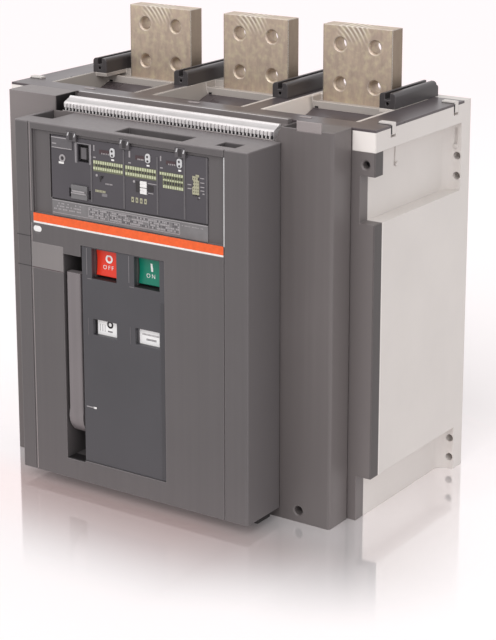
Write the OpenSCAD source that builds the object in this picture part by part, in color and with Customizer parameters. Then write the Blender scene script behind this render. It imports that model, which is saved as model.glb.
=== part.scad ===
// Three-pole power circuit breaker in a moulded case: a light rear casing, a dark cover and frame in front
// of it, and a raised front panel with the trip unit, charging lever and push buttons. X runs to the
// right of the front, Y to the rear, and the breaker stands on Z = 0.

/* [Casing] */
// Width over the casing's side panels
case_w = 450; // [430:1:500]
// Height of the casing and of the cover
case_h = 397.5; // [385:0.5:460]
// Depth of the casing behind the frame
case_d = 177.5; // [172:0.5:240]
// Depth of the recesses in the sides of the casing
side_recess_d = 16.5; // [10:0.5:20]
// Height of the upper side recess
side_recess_h = 70.5; // [60:0.5:90]
// Height of the solid band of side wall over the upper recess
top_band_h = 22; // [18:1:30]
// Height of the open foot recess in each side
foot_recess_h = 47; // [40:1:60]
// Depth of the post at the rear of the side recesses
rear_post_d = 19; // [14:0.5:30]
// Radius of the inner corner where each recess meets its post
recess_r = 12; // [4:1:15]
// Diameter of the side fixing holes
side_hole_d = 8; // [4:0.5:8.5]
// Spacing of the two holes in each rear post
side_hole_pitch = 21; // [14:0.5:26]

/* [Top plate] */
// Thickness of the top plate's rim over the casing
plate_rim_t = 2.5; // [1.5:0.5:4]
// Depth of the top plate's body below the rim
plate_body_d = 44; // [40:1:60]
// Gap round the pieces that are let into others
seat_gap = 0.3; // [0.2:0.1:0.8]
// Width of each funnel between its side walls
funnel_w = 107; // [90:1:110]
// Thickness of the plate's body in front of the funnels
funnel_front_t = 11; // [8:0.5:20]
// Depth of each funnel's floor at its rear
funnel_back_d = 13; // [10:0.5:14]
// Drop of each funnel's floor from its rear to its front
funnel_drop = 25; // [15:1:26]
// Draw of each funnel's side walls
funnel_draw = 8; // [4:0.5:14]
// Distance that the outer funnels lie outside their poles
outer_funnel_shift = 9; // [0:0.5:10]

/* [Terminal surrounds] */
// Thickness of a surround's side walls at the top
surround_t = 3.5; // [2:0.5:4]
// Depth of the ledge at the foot of each terminal
ledge_d = 7.5; // [4:0.5:9]
// Width of the ledge in front of each terminal
ledge_w = 16.5; // [12:0.5:20]
// Height of the lip along the ledge's front
lip_h = 2; // [1:0.5:3]
// Thickness of that lip
lip_t = 3; // [2:0.5:5]
// Width of the surround behind each terminal
surround_back_w = 11; // [6:0.5:12]
// Height of the foot that carries each outer guide bar
bar_foot_h = 4; // [3:0.5:6]

/* [Poles] */
// Width of a terminal
terminal_w = 82; // [60:1:88]
// Thickness of a terminal
terminal_t = 20; // [10:0.5:22]
// Height of the terminals over the casing
terminal_h = 72.5; // [66:0.5:110]
// Length of terminal held inside the casing
terminal_root = 60; // [52:1:100]
// Distance from the casing's rear to the terminals' rear face
terminal_inset = 39.5; // [34:0.5:42]
// Diameter of the terminal holes
terminal_hole_d = 13; // [6:0.5:14]
// Spacing of the terminal holes, across and up
terminal_hole_pitch = 41; // [30:0.5:45]
// Distance from a terminal's top edge to its upper holes
terminal_hole_edge = 19.5; // [14:0.5:24]
// Chamfer at the mouth of each terminal hole
hole_chamfer = 1.5; // [0.5:0.1:2]

/* [Guide bars] */
// Width of a guide bar
bar_w = 18; // [14:0.5:20]
// Height of a guide bar
bar_h = 16; // [12:0.5:20]
// Length of the outer guide bars
bar_l = 89; // [60:1:90]
// Extra length of the two inner guide bars at the front
inner_bar_extra = 12.5; // [0:0.5:14]
// Distance that the outer guide bars stand inside the next half pole pitch
bar_inset = 6; // [0:0.5:10]
// Rounding of the top corners of a guide bar
bar_r = 4; // [1:0.5:4]
// Width of the slot along the top of a guide bar
bar_slot_w = 6; // [4.5:0.5:7]
// Depth of that slot
bar_slot_d = 7; // [5:0.5:9]
// Diameter of the screw hole in a guide bar's front end
bar_hole_d = 3.5; // [2:0.5:4]

/* [Cover and frame] */
// Width of the cover
cover_w = 399; // [380:1:405]
// Depth of the cover
cover_d = 35; // [28:0.5:60]
// Depth of the frame between the cover and the casing
frame_d = 14.5; // [10:0.5:24]
// Height of each fixing lug on the frame
lug_h = 23.5; // [18:0.5:30]
// Diameter of the hole in each lug
lug_hole_d = 7.5; // [4:0.5:9]
// Diameter of the fixing holes at the foot of the cover
foot_hole_d = 9; // [5:0.5:12]
// Height of those holes over the floor
foot_hole_z = 12; // [9:0.5:24]

/* [Front panel] */
// Width of the front panel
panel_w = 284; // [280:1:300]
// Depth of the front panel in front of the cover
panel_d = 58; // [54:0.5:80]
// Distance from the front panel's top to the cover's top
panel_drop = 15; // [14:0.5:24]
// Gap under the front panel
panel_lift = 11; // [8:0.5:20]
// Rounding of the front panel's upright edges
panel_r = 2.5; // [2:0.5:8]
// Width of the left column beside the central plate
column_left_w = 18; // [14:0.5:20]
// Width of the right column beside the central plate
column_right_w = 26.5; // [22:0.5:32]
// Width and depth of the fine joint lines
seam = 1.2; // [0.6:0.1:2]

/* [Trip unit] */
// Height of the bezel that holds the trip unit and its strip
bezel_h = 87; // [84:1:96]
// Distance from the front panel's top to the bezel
bezel_drop = 7; // [5:0.5:10]
// Depth of the bezel behind the panel's front
bezel_d = 3.5; // [2:0.5:6]
// Width of the trip unit
trip_w = 191.5; // [180:0.5:205]
// Height of the trip unit
trip_h = 64.5; // [60:0.5:68]
// Thickness of the trip unit
trip_t = 12; // [8:0.5:20]
// Height of the accent stripe
stripe_h = 8.5; // [5:0.5:12]
// Height of the thin line below the stripe
line_h = 1.8; // [1:0.1:3]

/* [Charging lever] */
// Width of the lever's slot
slot_w = 23.5; // [20:0.5:26]
// Height of the lever's slot
slot_h = 219; // [205:1:222]
// Gap between the lever and each side of its slot
lever_gap = 3; // [2.5:0.25:6]
// Height of the lever's top over its hinge pin
lever_l = 153; // [120:1:160]
// Thickness of the lever's grip
lever_t = 9; // [6:0.5:14]
// Radius of the lever's round foot
lever_foot_r = 22; // [16:0.5:24]
// Diameter of the lever's hinge pin
pin_d = 6; // [4:0.5:10]
// Gap between a pin or stem and the bore that it runs in
running_gap = 0.1; // [0.05:0.05:0.3]

/* [Push buttons] */
// Width of the button caps
button_w = 30; // [20:0.5:34]
// Height of the button caps
button_h = 28; // [20:0.5:32]
// Depth of the button caps
button_t = 10; // [8:0.5:14]
// Depth of the caps behind the face of the control plate
button_drop = 7; // [6.5:0.5:9]
// Travel of the buttons
button_travel = 5; // [3:0.5:6]
// Diameter of a button's stem
stem_d = 8; // [5:0.5:12]
// Gap round each button
button_gap = 0.6; // [0.4:0.1:1.5]
// Extra height of each button's well below the cap
button_sill = 2; // [0:0.5:4]
// Distance between the two buttons
button_pitch = 53; // [48:0.5:56]
// Width of the control plate
control_w = 103; // [96:1:110]
// Height of the two windows
window_h = 17; // [12:0.5:22]
// Distance from the buttons down to the windows
window_drop = 67; // [50:1:90]

/* [Auxiliary terminals] */
// Width of the auxiliary terminal strip
strip_w = 258; // [240:1:262]
// Distance between the teeth of the strip
tooth_pitch = 4.4; // [3.6:0.1:6]
// Width of one upper tooth
tooth_w = 3.1; // [2:0.1:3.4]
// Width of one lower tooth
low_tooth_w = 1.5; // [1:0.1:2]

/* [Hidden] */
$fn = 48;

// A cut runs this far past the face that it opens
past = 1;

// Planes from front to rear
depth_all = panel_d + cover_d + frame_d + case_d;
panel_y = -depth_all / 2;
cover_y = panel_y + panel_d;
frame_y = cover_y + cover_d;
case_y = frame_y + frame_d;
back_y = case_y + case_d;

// Sides and levels of the casing
side_x = case_w / 2;
inner_x = side_x - side_recess_d;
block_x = cover_w / 2;
recess_top_z = case_h - top_band_h;
recess_z = recess_top_z - side_recess_h;
post_y = back_y - rear_post_d;
rim_z = case_h - plate_rim_t;
plate_back_inset = 14;
plate_back_y = back_y - plate_back_inset;
body_side_wall = 4;
body_back_wall = 6;
body_x = inner_x - body_side_wall;
body_back_y = plate_back_y - body_back_wall;
body_z = rim_z - plate_body_d;

// Poles, spread over the casing's width
pole_share = 3.6;
pole_pitch = case_w / pole_share;
pole_x = [-pole_pitch, 0, pole_pitch];
copper_back_y = back_y - terminal_inset;
copper_y = copper_back_y - terminal_t;
copper_top_z = case_h + terminal_h;
copper_z = case_h - terminal_root;
funnel_x = [pole_x[0] - outer_funnel_shift, 0, pole_x[2] + outer_funnel_shift];
funnel_back_y = copper_y - ledge_w;
funnel_y = case_y + funnel_front_t;
surround_half_w = funnel_w / 2 + surround_t;
surround_back_y = copper_back_y + surround_back_w;
inner_bar_x = pole_pitch / 2;
outer_bar_x = 1.5 * pole_pitch - bar_inset;
bar_back_inset = 6.5;
bar_back_y = back_y - bar_back_inset;
bar_hole_z = case_h + 5;
bar_hole_l = 10;
bar_y = bar_back_y - bar_l;

// Front panel
panel_top_z = case_h - panel_drop;
panel_x = panel_w / 2;
plate_left_x = -panel_x + column_left_w;
plate_right_x = panel_x - column_right_w;
bezel_top_z = panel_top_z - bezel_drop;
bezel_z = bezel_top_z - bezel_h;
bezel_left_inset = 4.5;
bezel_right_inset = 0.8;
bezel_left_x = plate_left_x + bezel_left_inset;
bezel_right_x = plate_right_x - bezel_right_inset;
bezel_floor_y = panel_y + bezel_d;
stripe_t = 1;
stripe_z = bezel_z - stripe_h;
line_z = stripe_z - line_h;
seal_d = 9;
seal_inset = 5;
seal_drop = 6;
seal_x = bezel_left_x + seal_inset;
seal_z = line_z - seal_drop;
blank_h = 27;
blank_drop = 20.5;
blank_top_z = line_z - blank_drop;
blank_z = blank_top_z - blank_h;

// Trip unit
trip_share = 0.46;
trip_x = bezel_right_x - trip_share * (bezel_right_x - bezel_left_x - trip_w);
trip_left_x = trip_x - trip_w;
trip_drop = 4;
trip_rise = 0.5;
trip_top_z = bezel_top_z - trip_drop;
trip_z = trip_top_z - trip_h;
trip_y = bezel_floor_y - trip_rise;
trip_slit = 2.4;
socket_x = trip_left_x + 0.178 * trip_w;
socket_w = 13.8;
socket_h = 18;
socket_d = 6;
socket_drop = 5.5;
socket_top_z = trip_top_z - socket_drop;
plug_x = trip_left_x + 0.136 * trip_w;
plug_w = 20;
plug_h = 14;
plug_z = trip_z + 3;
hold_w = 3;
hold_h = 9;
hold_d = 4;
clip_x = [for (k = [0.146, 0.491, 0.841]) trip_left_x + k * trip_w];
clip_half_w = 6;
clip_rise = 3;
clip_drop = 3;
clip_eye_w = 4;
light_x = [for (k = [0.406, 0.632, 0.829]) trip_left_x + k * trip_w];
light_d = 6;
light_h = 3.5;
light_z = trip_top_z - 11;
key_x = trip_left_x + 0.582 * trip_w;
key_z = trip_z + 0.3 * trip_h;
key_pitch = 3.2;
key_l = 8;
key_h = 2.4;

// Lever
slot_left_x = plate_left_x + 42;
slot_x = slot_left_x + slot_w / 2;
slot_share = 0.4375;
slot_z = panel_lift + slot_share * (line_z - panel_lift - slot_h);
slot_top_z = slot_z + slot_h;
lever_w = slot_w - 2 * lever_gap;
lever_drop = 18.5;
lever_sink = 1;
lever_top_z = slot_top_z - lever_drop;
lever_y = panel_y + lever_sink;
lever_pin_y = lever_y + lever_foot_r;
lever_pin_z = lever_top_z - lever_l;
pin_reach = 8;
cheek_t = 2;
liner_t = 4;

// Control plate, buttons and windows
control_left_x = slot_left_x + slot_w;
control_right_x = control_left_x + control_w;
control_lift = 2;
control_drop = 15;
control_sink = 1;
control_z = slot_z + control_lift;
control_top_z = line_z - control_drop;
control_t = 5;
control_y = panel_y + control_sink;
control_back_y = control_y + control_t;
off_inset = 28;
off_x = control_left_x + off_inset;
on_x = off_x + button_pitch;
button_edge = 2;
button_z = control_top_z - button_h / 2 - button_edge;
button_y = control_y + button_drop;
button_back_y = button_y + button_t;
free_end = 7;
well_y = button_back_y + button_travel + free_end;
bore_end_y = cover_y - liner_t;
stem_end_y = bore_end_y - button_travel - free_end;
window_z = button_z - window_drop;
card_t = 1.5;
card_gap = 0.5;
card_y = control_back_y + card_gap;

// Side holes, slits and clips
side_hole_x = inner_x + 12;
side_hole_l = 12;
upper_hole_lift = 14.5;
lower_hole_lift = 13;
clip_front_inset = 16.5;
clip_back_inset = 34;
clip_y = [case_y + clip_front_inset, back_y - clip_back_inset];
clip_w = 0.44 * (side_x - outer_bar_x - bar_w / 2);
clip_notch_w = 0.27 * clip_w;
clip_l = 7;
clip_t = 2;
clip_leg_h = 9.5;
clip_gap = 2.5;
slit_h = 20;
slit_w = 3;
slit_d = 1.5;
knob_d = 5;
slit_inset = 109;
slit_drop = 6;
slit_y = post_y - slit_inset;
slit_x = inner_x + 9;
slit_z = recess_top_z - slit_drop - slit_h;

// Auxiliary terminals
strip_x = 2.5;
strip_z = panel_top_z;
strip_d = 17;
strip_profile = [[0, 0], [1, 0], [1, 0.62], [0.87, 0.76], [0.85, 0.84], [0.72, 0.84], [0.68, 0.76], [0.21, 0.56],
    [0.15, 0.49], [0.15, 0.07], [0, 0.07]];
rail_h = 16.5;
rail_step_h = 11;
rail_step_d = 10;
strip_left_x = strip_x - strip_w / 2;
strip_right_x = strip_x + strip_w / 2;

// Notch of the cover round them, its gap and recess, the tab and the foot holes
notch_left_x = strip_left_x - 9;
notch_right_x = strip_right_x + 3;
notch_slant = 7;
end_gap_h = 30;
end_recess_h = 40;
tab_w = 28;
tab_t = 1.5;
tab_h = 8;
tab_sink = 2;
tab_x = block_x - 41;
foot_hole_x = block_x - 36;

// Openings in the front panel's top ledge: each from x, depth over it, width, length and depth
ledge_openings = [[-panel_x + 4, 36, 28, 37, 25], [-20, 50, 82, 24, 8], [28, 41, 34, 15, 20],
    [panel_x - 45, 46, 23, 18, 12]];

module box(low, high) {
    translate(low) cube(high - low);
}

// A box whose four upright edges are rounded
module upright_box(low, high, r) {
    size = high - low;
    translate([low[0] + r, low[1], low[2]]) cube([size[0] - 2 * r, size[1], size[2]]);
    translate([low[0], low[1] + r, low[2]]) cube([size[0], size[1] - 2 * r, size[2]]);
    for (x = [low[0] + r, high[0] - r], y = [low[1] + r, high[1] - r])
        translate([x, y, low[2]]) cylinder(h = size[2], r = r);
}

// A round bar or bore along Y from y to y + length
module bore_y(x, y, z, d, length) {
    translate([x, y, z]) rotate([-90, 0, 0]) cylinder(h = length, d = d);
}

// A bore along Y through a wall from y to y + length, with chamfered mouths
module chamfered_bore(x, y, z, d, length) {
    bore_y(x, y - past, z, d, length + 2 * past);
    translate([x, y, z]) rotate([-90, 0, 0])
        cylinder(h = hole_chamfer, d1 = d + 2 * hole_chamfer, d2 = d);
    translate([x, y + length, z]) rotate([90, 0, 0])
        cylinder(h = hole_chamfer, d1 = d + 2 * hole_chamfer, d2 = d);
}

// The left and right copies of what is drawn on the right
module both_sides() {
    children();
    mirror([1, 0, 0]) children();
}

// A recess in the right side of the casing, with a rounded inner corner at the rear post
module side_recess(low_z, high_z) {
    box([inner_x, case_y - past, low_z], [side_x + past, post_y - recess_r, high_z]);
    box([inner_x + recess_r, post_y - recess_r - past, low_z], [side_x + past, post_y, high_z]);
    translate([inner_x + recess_r, post_y - recess_r, low_z]) cylinder(h = high_z - low_z, r = recess_r);
}

// A wedge along Y whose floor falls from rear to front and whose sides draw in as it deepens: half_w is its half
// width at the top, sink a further depth of its floor, and rise its height over the top of the casing
module wedge(x, half_w, draw, sink, rise) {
    front_d = funnel_back_d + funnel_drop;
    depths = [front_d + sink, funnel_back_d + sink, -rise];
    halves = [for (d = depths) half_w - draw * d / front_d];
    polyhedron(
        points = [
            [x - halves[0], funnel_y, case_h - depths[0]], [x + halves[0], funnel_y, case_h - depths[0]],
            [x + halves[1], funnel_back_y, case_h - depths[1]], [x - halves[1], funnel_back_y, case_h - depths[1]],
            [x - halves[2], funnel_y, case_h + rise], [x + halves[2], funnel_y, case_h + rise],
            [x + halves[2], funnel_back_y, case_h + rise], [x - halves[2], funnel_back_y, case_h + rise]],
        faces = [[0, 1, 2, 3], [4, 5, 1, 0], [5, 6, 2, 1], [6, 7, 3, 2], [7, 4, 0, 3], [7, 6, 5, 4]]);
}

// The slot for a terminal, with its gap all round, from z up to the top
module terminal_slot(x, z) {
    box([x - terminal_w / 2 - seat_gap, copper_y - seat_gap, z],
        [x + terminal_w / 2 + seat_gap, copper_back_y + seat_gap, case_h + past]);
}

// The notches that take the casing clips, right through the rim
module clip_notches(reach, z) {
    both_sides() for (y = clip_y)
        box([side_x - reach, y - clip_gap, z], [side_x + past, y + clip_l + seat_gap, case_h + past]);
}

module rear_casing() {
    color("gainsboro") union() {
        difference() {
            union() {
                box([-side_x, case_y, 0], [side_x, back_y, rim_z]);
                box([-side_x, plate_back_y, rim_z - past], [side_x, back_y, case_h]);
                both_sides() box([block_x, frame_y, recess_top_z], [side_x, case_y + past, rim_z]);
            }
            both_sides() {
                side_recess(recess_z, recess_top_z);
                side_recess(-past, foot_recess_h);
                // Fixing holes of the rear posts
                for (z = [recess_z + upper_hole_lift, lower_hole_lift], k = [0, 1])
                    bore_y(side_hole_x, post_y - past, z + k * side_hole_pitch, side_hole_d, side_hole_l + past);
                // Moulded slits on the recess wall and on the post
                box([inner_x - slit_d, slit_y, slit_z], [inner_x + past, slit_y + slit_w, slit_z + slit_h]);
                box([slit_x, post_y - past, slit_z], [slit_x + slit_w, post_y + slit_d, slit_z + slit_h]);
            }
            // Pocket of the top plate's body, and the slots of the terminals below it
            box([-body_x, case_y - past, body_z], [body_x, body_back_y, rim_z + past]);
            for (x = pole_x)
                terminal_slot(x, copper_z);
            clip_notches(clip_notch_w, case_h - clip_leg_h - clip_gap);
        }
        // Small round studs at the feet of the slits
        both_sides() {
            translate([inner_x - past, slit_y + 1.5 * slit_w, slit_z + past]) rotate([0, 90, 0])
                cylinder(h = past + slit_d, d = knob_d);
            bore_y(slit_x + slit_w / 2, post_y - slit_d, slit_z + past, knob_d, slit_d + past);
        }
    }
}

module top_plate() {
    color("dimgray") difference() {
        union() {
            box([-side_x, frame_y, rim_z], [side_x, plate_back_y, case_h]);
            box([-body_x + seat_gap, case_y, body_z + seat_gap],
                [body_x - seat_gap, body_back_y - seat_gap, rim_z + past]);
        }
        for (k = [0 : 2]) {
            // The funnel, and the seat of its surround
            wedge(funnel_x[k], surround_half_w + seat_gap, 0, 0, past);
            box([funnel_x[k] - surround_half_w - seat_gap, funnel_back_y - 0.01, case_h - funnel_back_d],
                [funnel_x[k] + surround_half_w + seat_gap, surround_back_y + seat_gap, case_h + past]);
            terminal_slot(pole_x[k], body_z - past);
        }
        clip_notches(clip_notch_w, rim_z - past);
    }
}

// The light moulding of one pole: the side walls of its funnel, and a ledge with a lip round the terminal's foot
module terminal_surround(k) {
    x = funnel_x[k];
    inner_w = funnel_w / 2 - funnel_draw * ledge_d / (funnel_back_d + funnel_drop);
    color("gainsboro") difference() {
        union() {
            wedge(x, surround_half_w, 0, 0, 0);
            box([x - surround_half_w, funnel_back_y, case_h - funnel_back_d],
                [x + surround_half_w, surround_back_y, case_h]);
        }
        difference() {
            union() {
                wedge(x, funnel_w / 2, funnel_draw, past, past);
                box([x - inner_w, funnel_back_y - past, case_h - ledge_d + lip_h],
                    [x + inner_w, copper_y - seat_gap, case_h + past]);
                box([x - inner_w, funnel_back_y + lip_t, case_h - ledge_d],
                    [x + inner_w, copper_y - seat_gap, case_h + past]);
            }
            // Foot of the outer guide bar
            if (k != 1) mirror([k == 0 ? 1 : 0, 0, 0])
                box([outer_bar_x - bar_w / 2, bar_y, case_h - bar_foot_h],
                    [side_x, back_y, case_h + 2 * past]);
        }
        terminal_slot(pole_x[k], case_h - funnel_back_d - past);
    }
}

module front_cover() {
    color("dimgray") difference() {
        upright_box([-block_x, cover_y, 0], [block_x, frame_y, case_h], 3);
        // Notch of the auxiliary terminals, with a slanting right side
        translate([0, frame_y + past, 0]) rotate([90, 0, 0]) linear_extrude(cover_d + 2 * past)
            polygon([[notch_left_x, panel_top_z], [notch_right_x, panel_top_z],
                [notch_right_x + notch_slant, case_h + past], [notch_left_x, case_h + past]]);
        both_sides() bore_y(foot_hole_x, cover_y - past, foot_hole_z, foot_hole_d, cover_d + 2 * past);
        both_sides() translate([foot_hole_x, cover_y, foot_hole_z]) rotate([-90, 0, 0])
            cylinder(h = 1, d1 = foot_hole_d + 2, d2 = foot_hole_d);
        // Deep gap at the left end of the strip, and the deep recess between its right end and the tab
        box([notch_left_x, cover_y + 1, panel_top_z - end_gap_h],
            [strip_left_x - 0.5, frame_y - 3, case_h + past]);
        box([notch_right_x + notch_slant, cover_y + 2.5, case_h - end_recess_h],
            [tab_x - 1, frame_y - 3, case_h + past]);
        // Seat of the small tab at the top right
        box([tab_x, cover_y - past, case_h - tab_sink], [tab_x + tab_w, cover_y + tab_t, case_h + past]);
    }
}

module cover_tab() {
    color([0.66, 0.65, 0.67])
        box([tab_x + seat_gap, cover_y + 0.2, case_h - tab_sink],
            [tab_x + tab_w - seat_gap, cover_y + tab_t, case_h + tab_h]);
}

module frame() {
    color("dimgray") difference() {
        union() {
            box([-inner_x, frame_y, 0], [inner_x, case_y, recess_top_z]);
            box([-block_x, frame_y, recess_top_z - past], [block_x, case_y, rim_z]);
            both_sides() {
                box([inner_x - past, frame_y, recess_top_z - lug_h], [side_x, case_y, recess_top_z]);
                box([inner_x - past, frame_y, foot_recess_h], [side_x, case_y, recess_z]);
            }
        }
        both_sides() {
            chamfered_bore(inner_x + 6, frame_y, recess_top_z - lug_h / 2 - 1, lug_hole_d, frame_d);
            bore_y(foot_hole_x, frame_y - past, foot_hole_z, foot_hole_d, frame_d + 2 * past);
        }
    }
}

// A round bar along the hinge line of the lever, centred in the slot
module lever_axle(d, length) {
    translate([slot_x - length / 2, lever_pin_y, lever_pin_z]) rotate([0, 90, 0]) cylinder(h = length, d = d);
}

// The well of a button with its guiding gap, and the bore of its stem
module button_well(x) {
    half = [button_w / 2 + button_gap, button_h / 2 + button_gap];
    box([x - half[0], panel_y, button_z - half[1] - button_sill], [x + half[0], well_y, button_z + half[1]]);
    bore_y(x, well_y - past, button_z, stem_d + 2 * running_gap, bore_end_y - well_y + past);
}

module front_panel() {
    color("dimgray") difference() {
        upright_box([-panel_x, panel_y, panel_lift], [panel_x, cover_y, panel_top_z], panel_r);
        // Joint lines of the two columns
        for (x = [plate_left_x, plate_right_x])
            box([x - seam / 2, panel_y - past, panel_lift - past],
                [x + seam / 2, panel_y + seam, panel_top_z + past]);
        // Bezel, and the deeper pocket of the trip unit with a slit on its left
        box([bezel_left_x, panel_y - past, bezel_z], [bezel_right_x, bezel_floor_y, bezel_top_z]);
        box([trip_left_x - trip_slit, panel_y - past, trip_z - seat_gap],
            [trip_x + seat_gap, trip_y + trip_t, trip_top_z + seat_gap]);
        // Groove of the stripe and its line
        box([bezel_left_x, panel_y - past, line_z], [bezel_right_x, panel_y + stripe_t, bezel_z + past]);
        // Seats of the blank plate and of the seal
        box([plate_left_x + seam, panel_y - past, blank_z], [slot_left_x, panel_y + stripe_t, blank_top_z]);
        bore_y(seal_x, panel_y - past, seal_z, seal_d, past + stripe_t);
        // Notches over the trip unit's clips
        for (x = clip_x)
            box([x - clip_half_w - seat_gap, panel_y - past, bezel_top_z - past],
                [x + clip_half_w + seat_gap, bezel_floor_y, bezel_top_z + clip_rise]);
        for (p = ledge_openings)
            translate([p[0], cover_y - p[1], panel_top_z - p[4]]) cube([p[2], p[3], p[4] + past]);
        // Slot of the lever, right through, and the bores of its pin
        box([slot_left_x, panel_y - past, slot_z], [slot_left_x + slot_w, cover_y + past, slot_top_z]);
        lever_axle(pin_d, slot_w + 2 * pin_reach);
        // Seat of the control plate, and what lies behind it
        box([control_left_x - past, panel_y - past, control_z],
            [control_right_x, control_back_y, control_top_z]);
        for (x = [off_x, on_x]) {
            button_well(x);
            box([x - button_w / 2, panel_y, window_z - window_h / 2],
                [x + button_w / 2, card_y + card_t, window_z + window_h / 2]);
        }
    }
}

module control_plate() {
    color([0.28, 0.27, 0.27]) difference() {
        box([control_left_x, control_y, control_z + seat_gap],
            [control_right_x - seat_gap, control_back_y, control_top_z - seat_gap]);
        for (x = [off_x, on_x]) {
            box([x - button_w / 2 - button_gap, control_y - past, button_z - button_h / 2 - button_gap - button_sill],
                [x + button_w / 2 + button_gap, control_back_y + past, button_z + button_h / 2 + button_gap]);
            box([x - button_w / 2, control_y - past, window_z - window_h / 2],
                [x + button_w / 2, control_back_y + past, window_z + window_h / 2]);
        }
    }
}

// The dark liner at the back of the slot, with two cheeks that carry the lever's pin
module lever_surround() {
    color([0.2, 0.2, 0.2]) difference() {
        union() {
            box([slot_left_x, cover_y - liner_t, slot_z], [slot_left_x + slot_w, cover_y, slot_top_z]);
            for (x = [slot_left_x, slot_left_x + slot_w - cheek_t]) {
                box([x, lever_pin_y, lever_pin_z - 1.5 * pin_d],
                    [x + cheek_t, cover_y - 1, lever_pin_z + 1.5 * pin_d]);
                translate([x, lever_pin_y, lever_pin_z]) rotate([0, 90, 0])
                    cylinder(h = cheek_t, d = 3 * pin_d);
            }
        }
        lever_axle(pin_d, 2 * slot_w);
    }
}

module trip_unit() {
    color([0.2, 0.2, 0.2]) difference() {
        box([trip_left_x, trip_y, trip_z], [trip_x, trip_y + trip_t, trip_top_z]);
        // Pockets of the socket, and of the finger holds beside the rating plug
        box([socket_x, trip_y - past, socket_top_z - socket_h],
            [socket_x + socket_w, trip_y + socket_d, socket_top_z]);
        for (x = [plug_x - hold_w - 1, plug_x + plug_w + 1])
            translate([x, trip_y - past, plug_z + 1]) cube([hold_w, hold_d + past, hold_h]);
    }
}

module test_socket() {
    color([0.1, 0.1, 0.1]) union() {
        box([socket_x, trip_y + socket_d - 1.5, socket_top_z - socket_h],
            [socket_x + socket_w, trip_y + socket_d, socket_top_z]);
        box([socket_x + 2, trip_y + 1, socket_top_z - socket_h + 3],
            [socket_x + socket_w - 2, trip_y + socket_d - 1, socket_top_z - 3]);
    }
}

module rating_plug() {
    color([0.45, 0.45, 0.45]) union() {
        box([plug_x, trip_y - 2, plug_z], [plug_x + plug_w, trip_y, plug_z + plug_h]);
        box([plug_x + 2, trip_y - 3, plug_z + 5.5], [plug_x + plug_w - 2, trip_y - 2, plug_z + 9]);
    }
}

module setting_keys() {
    color("white") for (k = [0 : 3])
        translate([key_x, trip_y - 1, key_z + k * key_pitch]) cube([key_l, 1, key_h]);
}

// Upright oval light guides
module status_lights() {
    color([0.5, 0.5, 0.5]) for (x = light_x) {
        for (z = [light_z, light_z + light_h])
            translate([x, trip_y, z]) rotate([90, 0, 0]) cylinder(h = 1, d = light_d);
        box([x - light_d / 2, trip_y - 1, light_z], [x + light_d / 2, trip_y, light_z + light_h]);
    }
}

// A clip over the trip unit's top edge, with a dark opening in its middle
module trip_clip(x) {
    color([0.4, 0.4, 0.4]) difference() {
        box([x - clip_half_w, panel_y, trip_top_z - clip_drop],
            [x + clip_half_w, trip_y, bezel_top_z + clip_rise - seat_gap]);
        box([x - clip_eye_w / 2, panel_y - past, trip_top_z - 1],
            [x + clip_eye_w / 2, trip_y - 1, bezel_top_z - 0.5]);
    }
}

module label_strip() {
    color([0.6, 0.6, 0.6])
        box([trip_left_x, bezel_floor_y - 0.8, bezel_z + 0.5], [trip_x, bezel_floor_y, trip_z - 1.5]);
}

module accent_stripe() {
    color("orangered") box([bezel_left_x, panel_y, stripe_z], [bezel_right_x, panel_y + stripe_t, bezel_z]);
}

module accent_line() {
    color("white") box([bezel_left_x, panel_y, line_z], [bezel_right_x, panel_y + stripe_t, stripe_z]);
}

module blank_plate() {
    color([0.5, 0.5, 0.5])
        box([plate_left_x + seam, panel_y, blank_z], [slot_left_x, panel_y + stripe_t, blank_top_z]);
}

module seal_cap() {
    color("white") bore_y(seal_x, panel_y, seal_z, seal_d, stripe_t);
}

module charging_lever() {
    color([0.45, 0.45, 0.45]) difference() {
        union() {
            upright_box([slot_x - lever_w / 2, lever_y, lever_pin_z],
                [slot_x + lever_w / 2, lever_y + lever_t, lever_top_z], 2);
            lever_axle(2 * lever_foot_r, lever_w);
        }
        lever_axle(pin_d + 2 * running_gap, 2 * slot_w);
    }
}

module lever_pin() {
    color("silver") lever_axle(pin_d, slot_w + 2 * pin_reach);
}

// A button's cap with a dished face, and its stem
module button(x, tint) {
    dish_r = 60;
    dish_d = 1.5;
    color(tint) difference() {
        union() {
            box([x - button_w / 2, button_y, button_z - button_h / 2],
                [x + button_w / 2, button_back_y, button_z + button_h / 2]);
            bore_y(x, button_back_y - past, button_z, stem_d, stem_end_y - button_back_y + past);
        }
        translate([x - button_w / 2 - past, button_y + dish_d - dish_r, button_z]) rotate([0, 90, 0])
            cylinder(h = button_w + 2 * past, r = dish_r, $fn = 180);
    }
}

module indicator(x) {
    color("white") box([x - button_w / 2, card_y, window_z - window_h / 2],
        [x + button_w / 2, card_y + card_t, window_z + window_h / 2]);
}

module terminal(x) {
    color([0.68, 0.62, 0.54]) difference() {
        box([x - terminal_w / 2, copper_y, copper_z], [x + terminal_w / 2, copper_back_y, copper_top_z]);
        for (i = [-0.5, 0.5], k = [0, 1])
            chamfered_bore(x + i * terminal_hole_pitch, copper_y,
                copper_top_z - terminal_hole_edge - k * terminal_hole_pitch, terminal_hole_d, terminal_t);
    }
}

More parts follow.
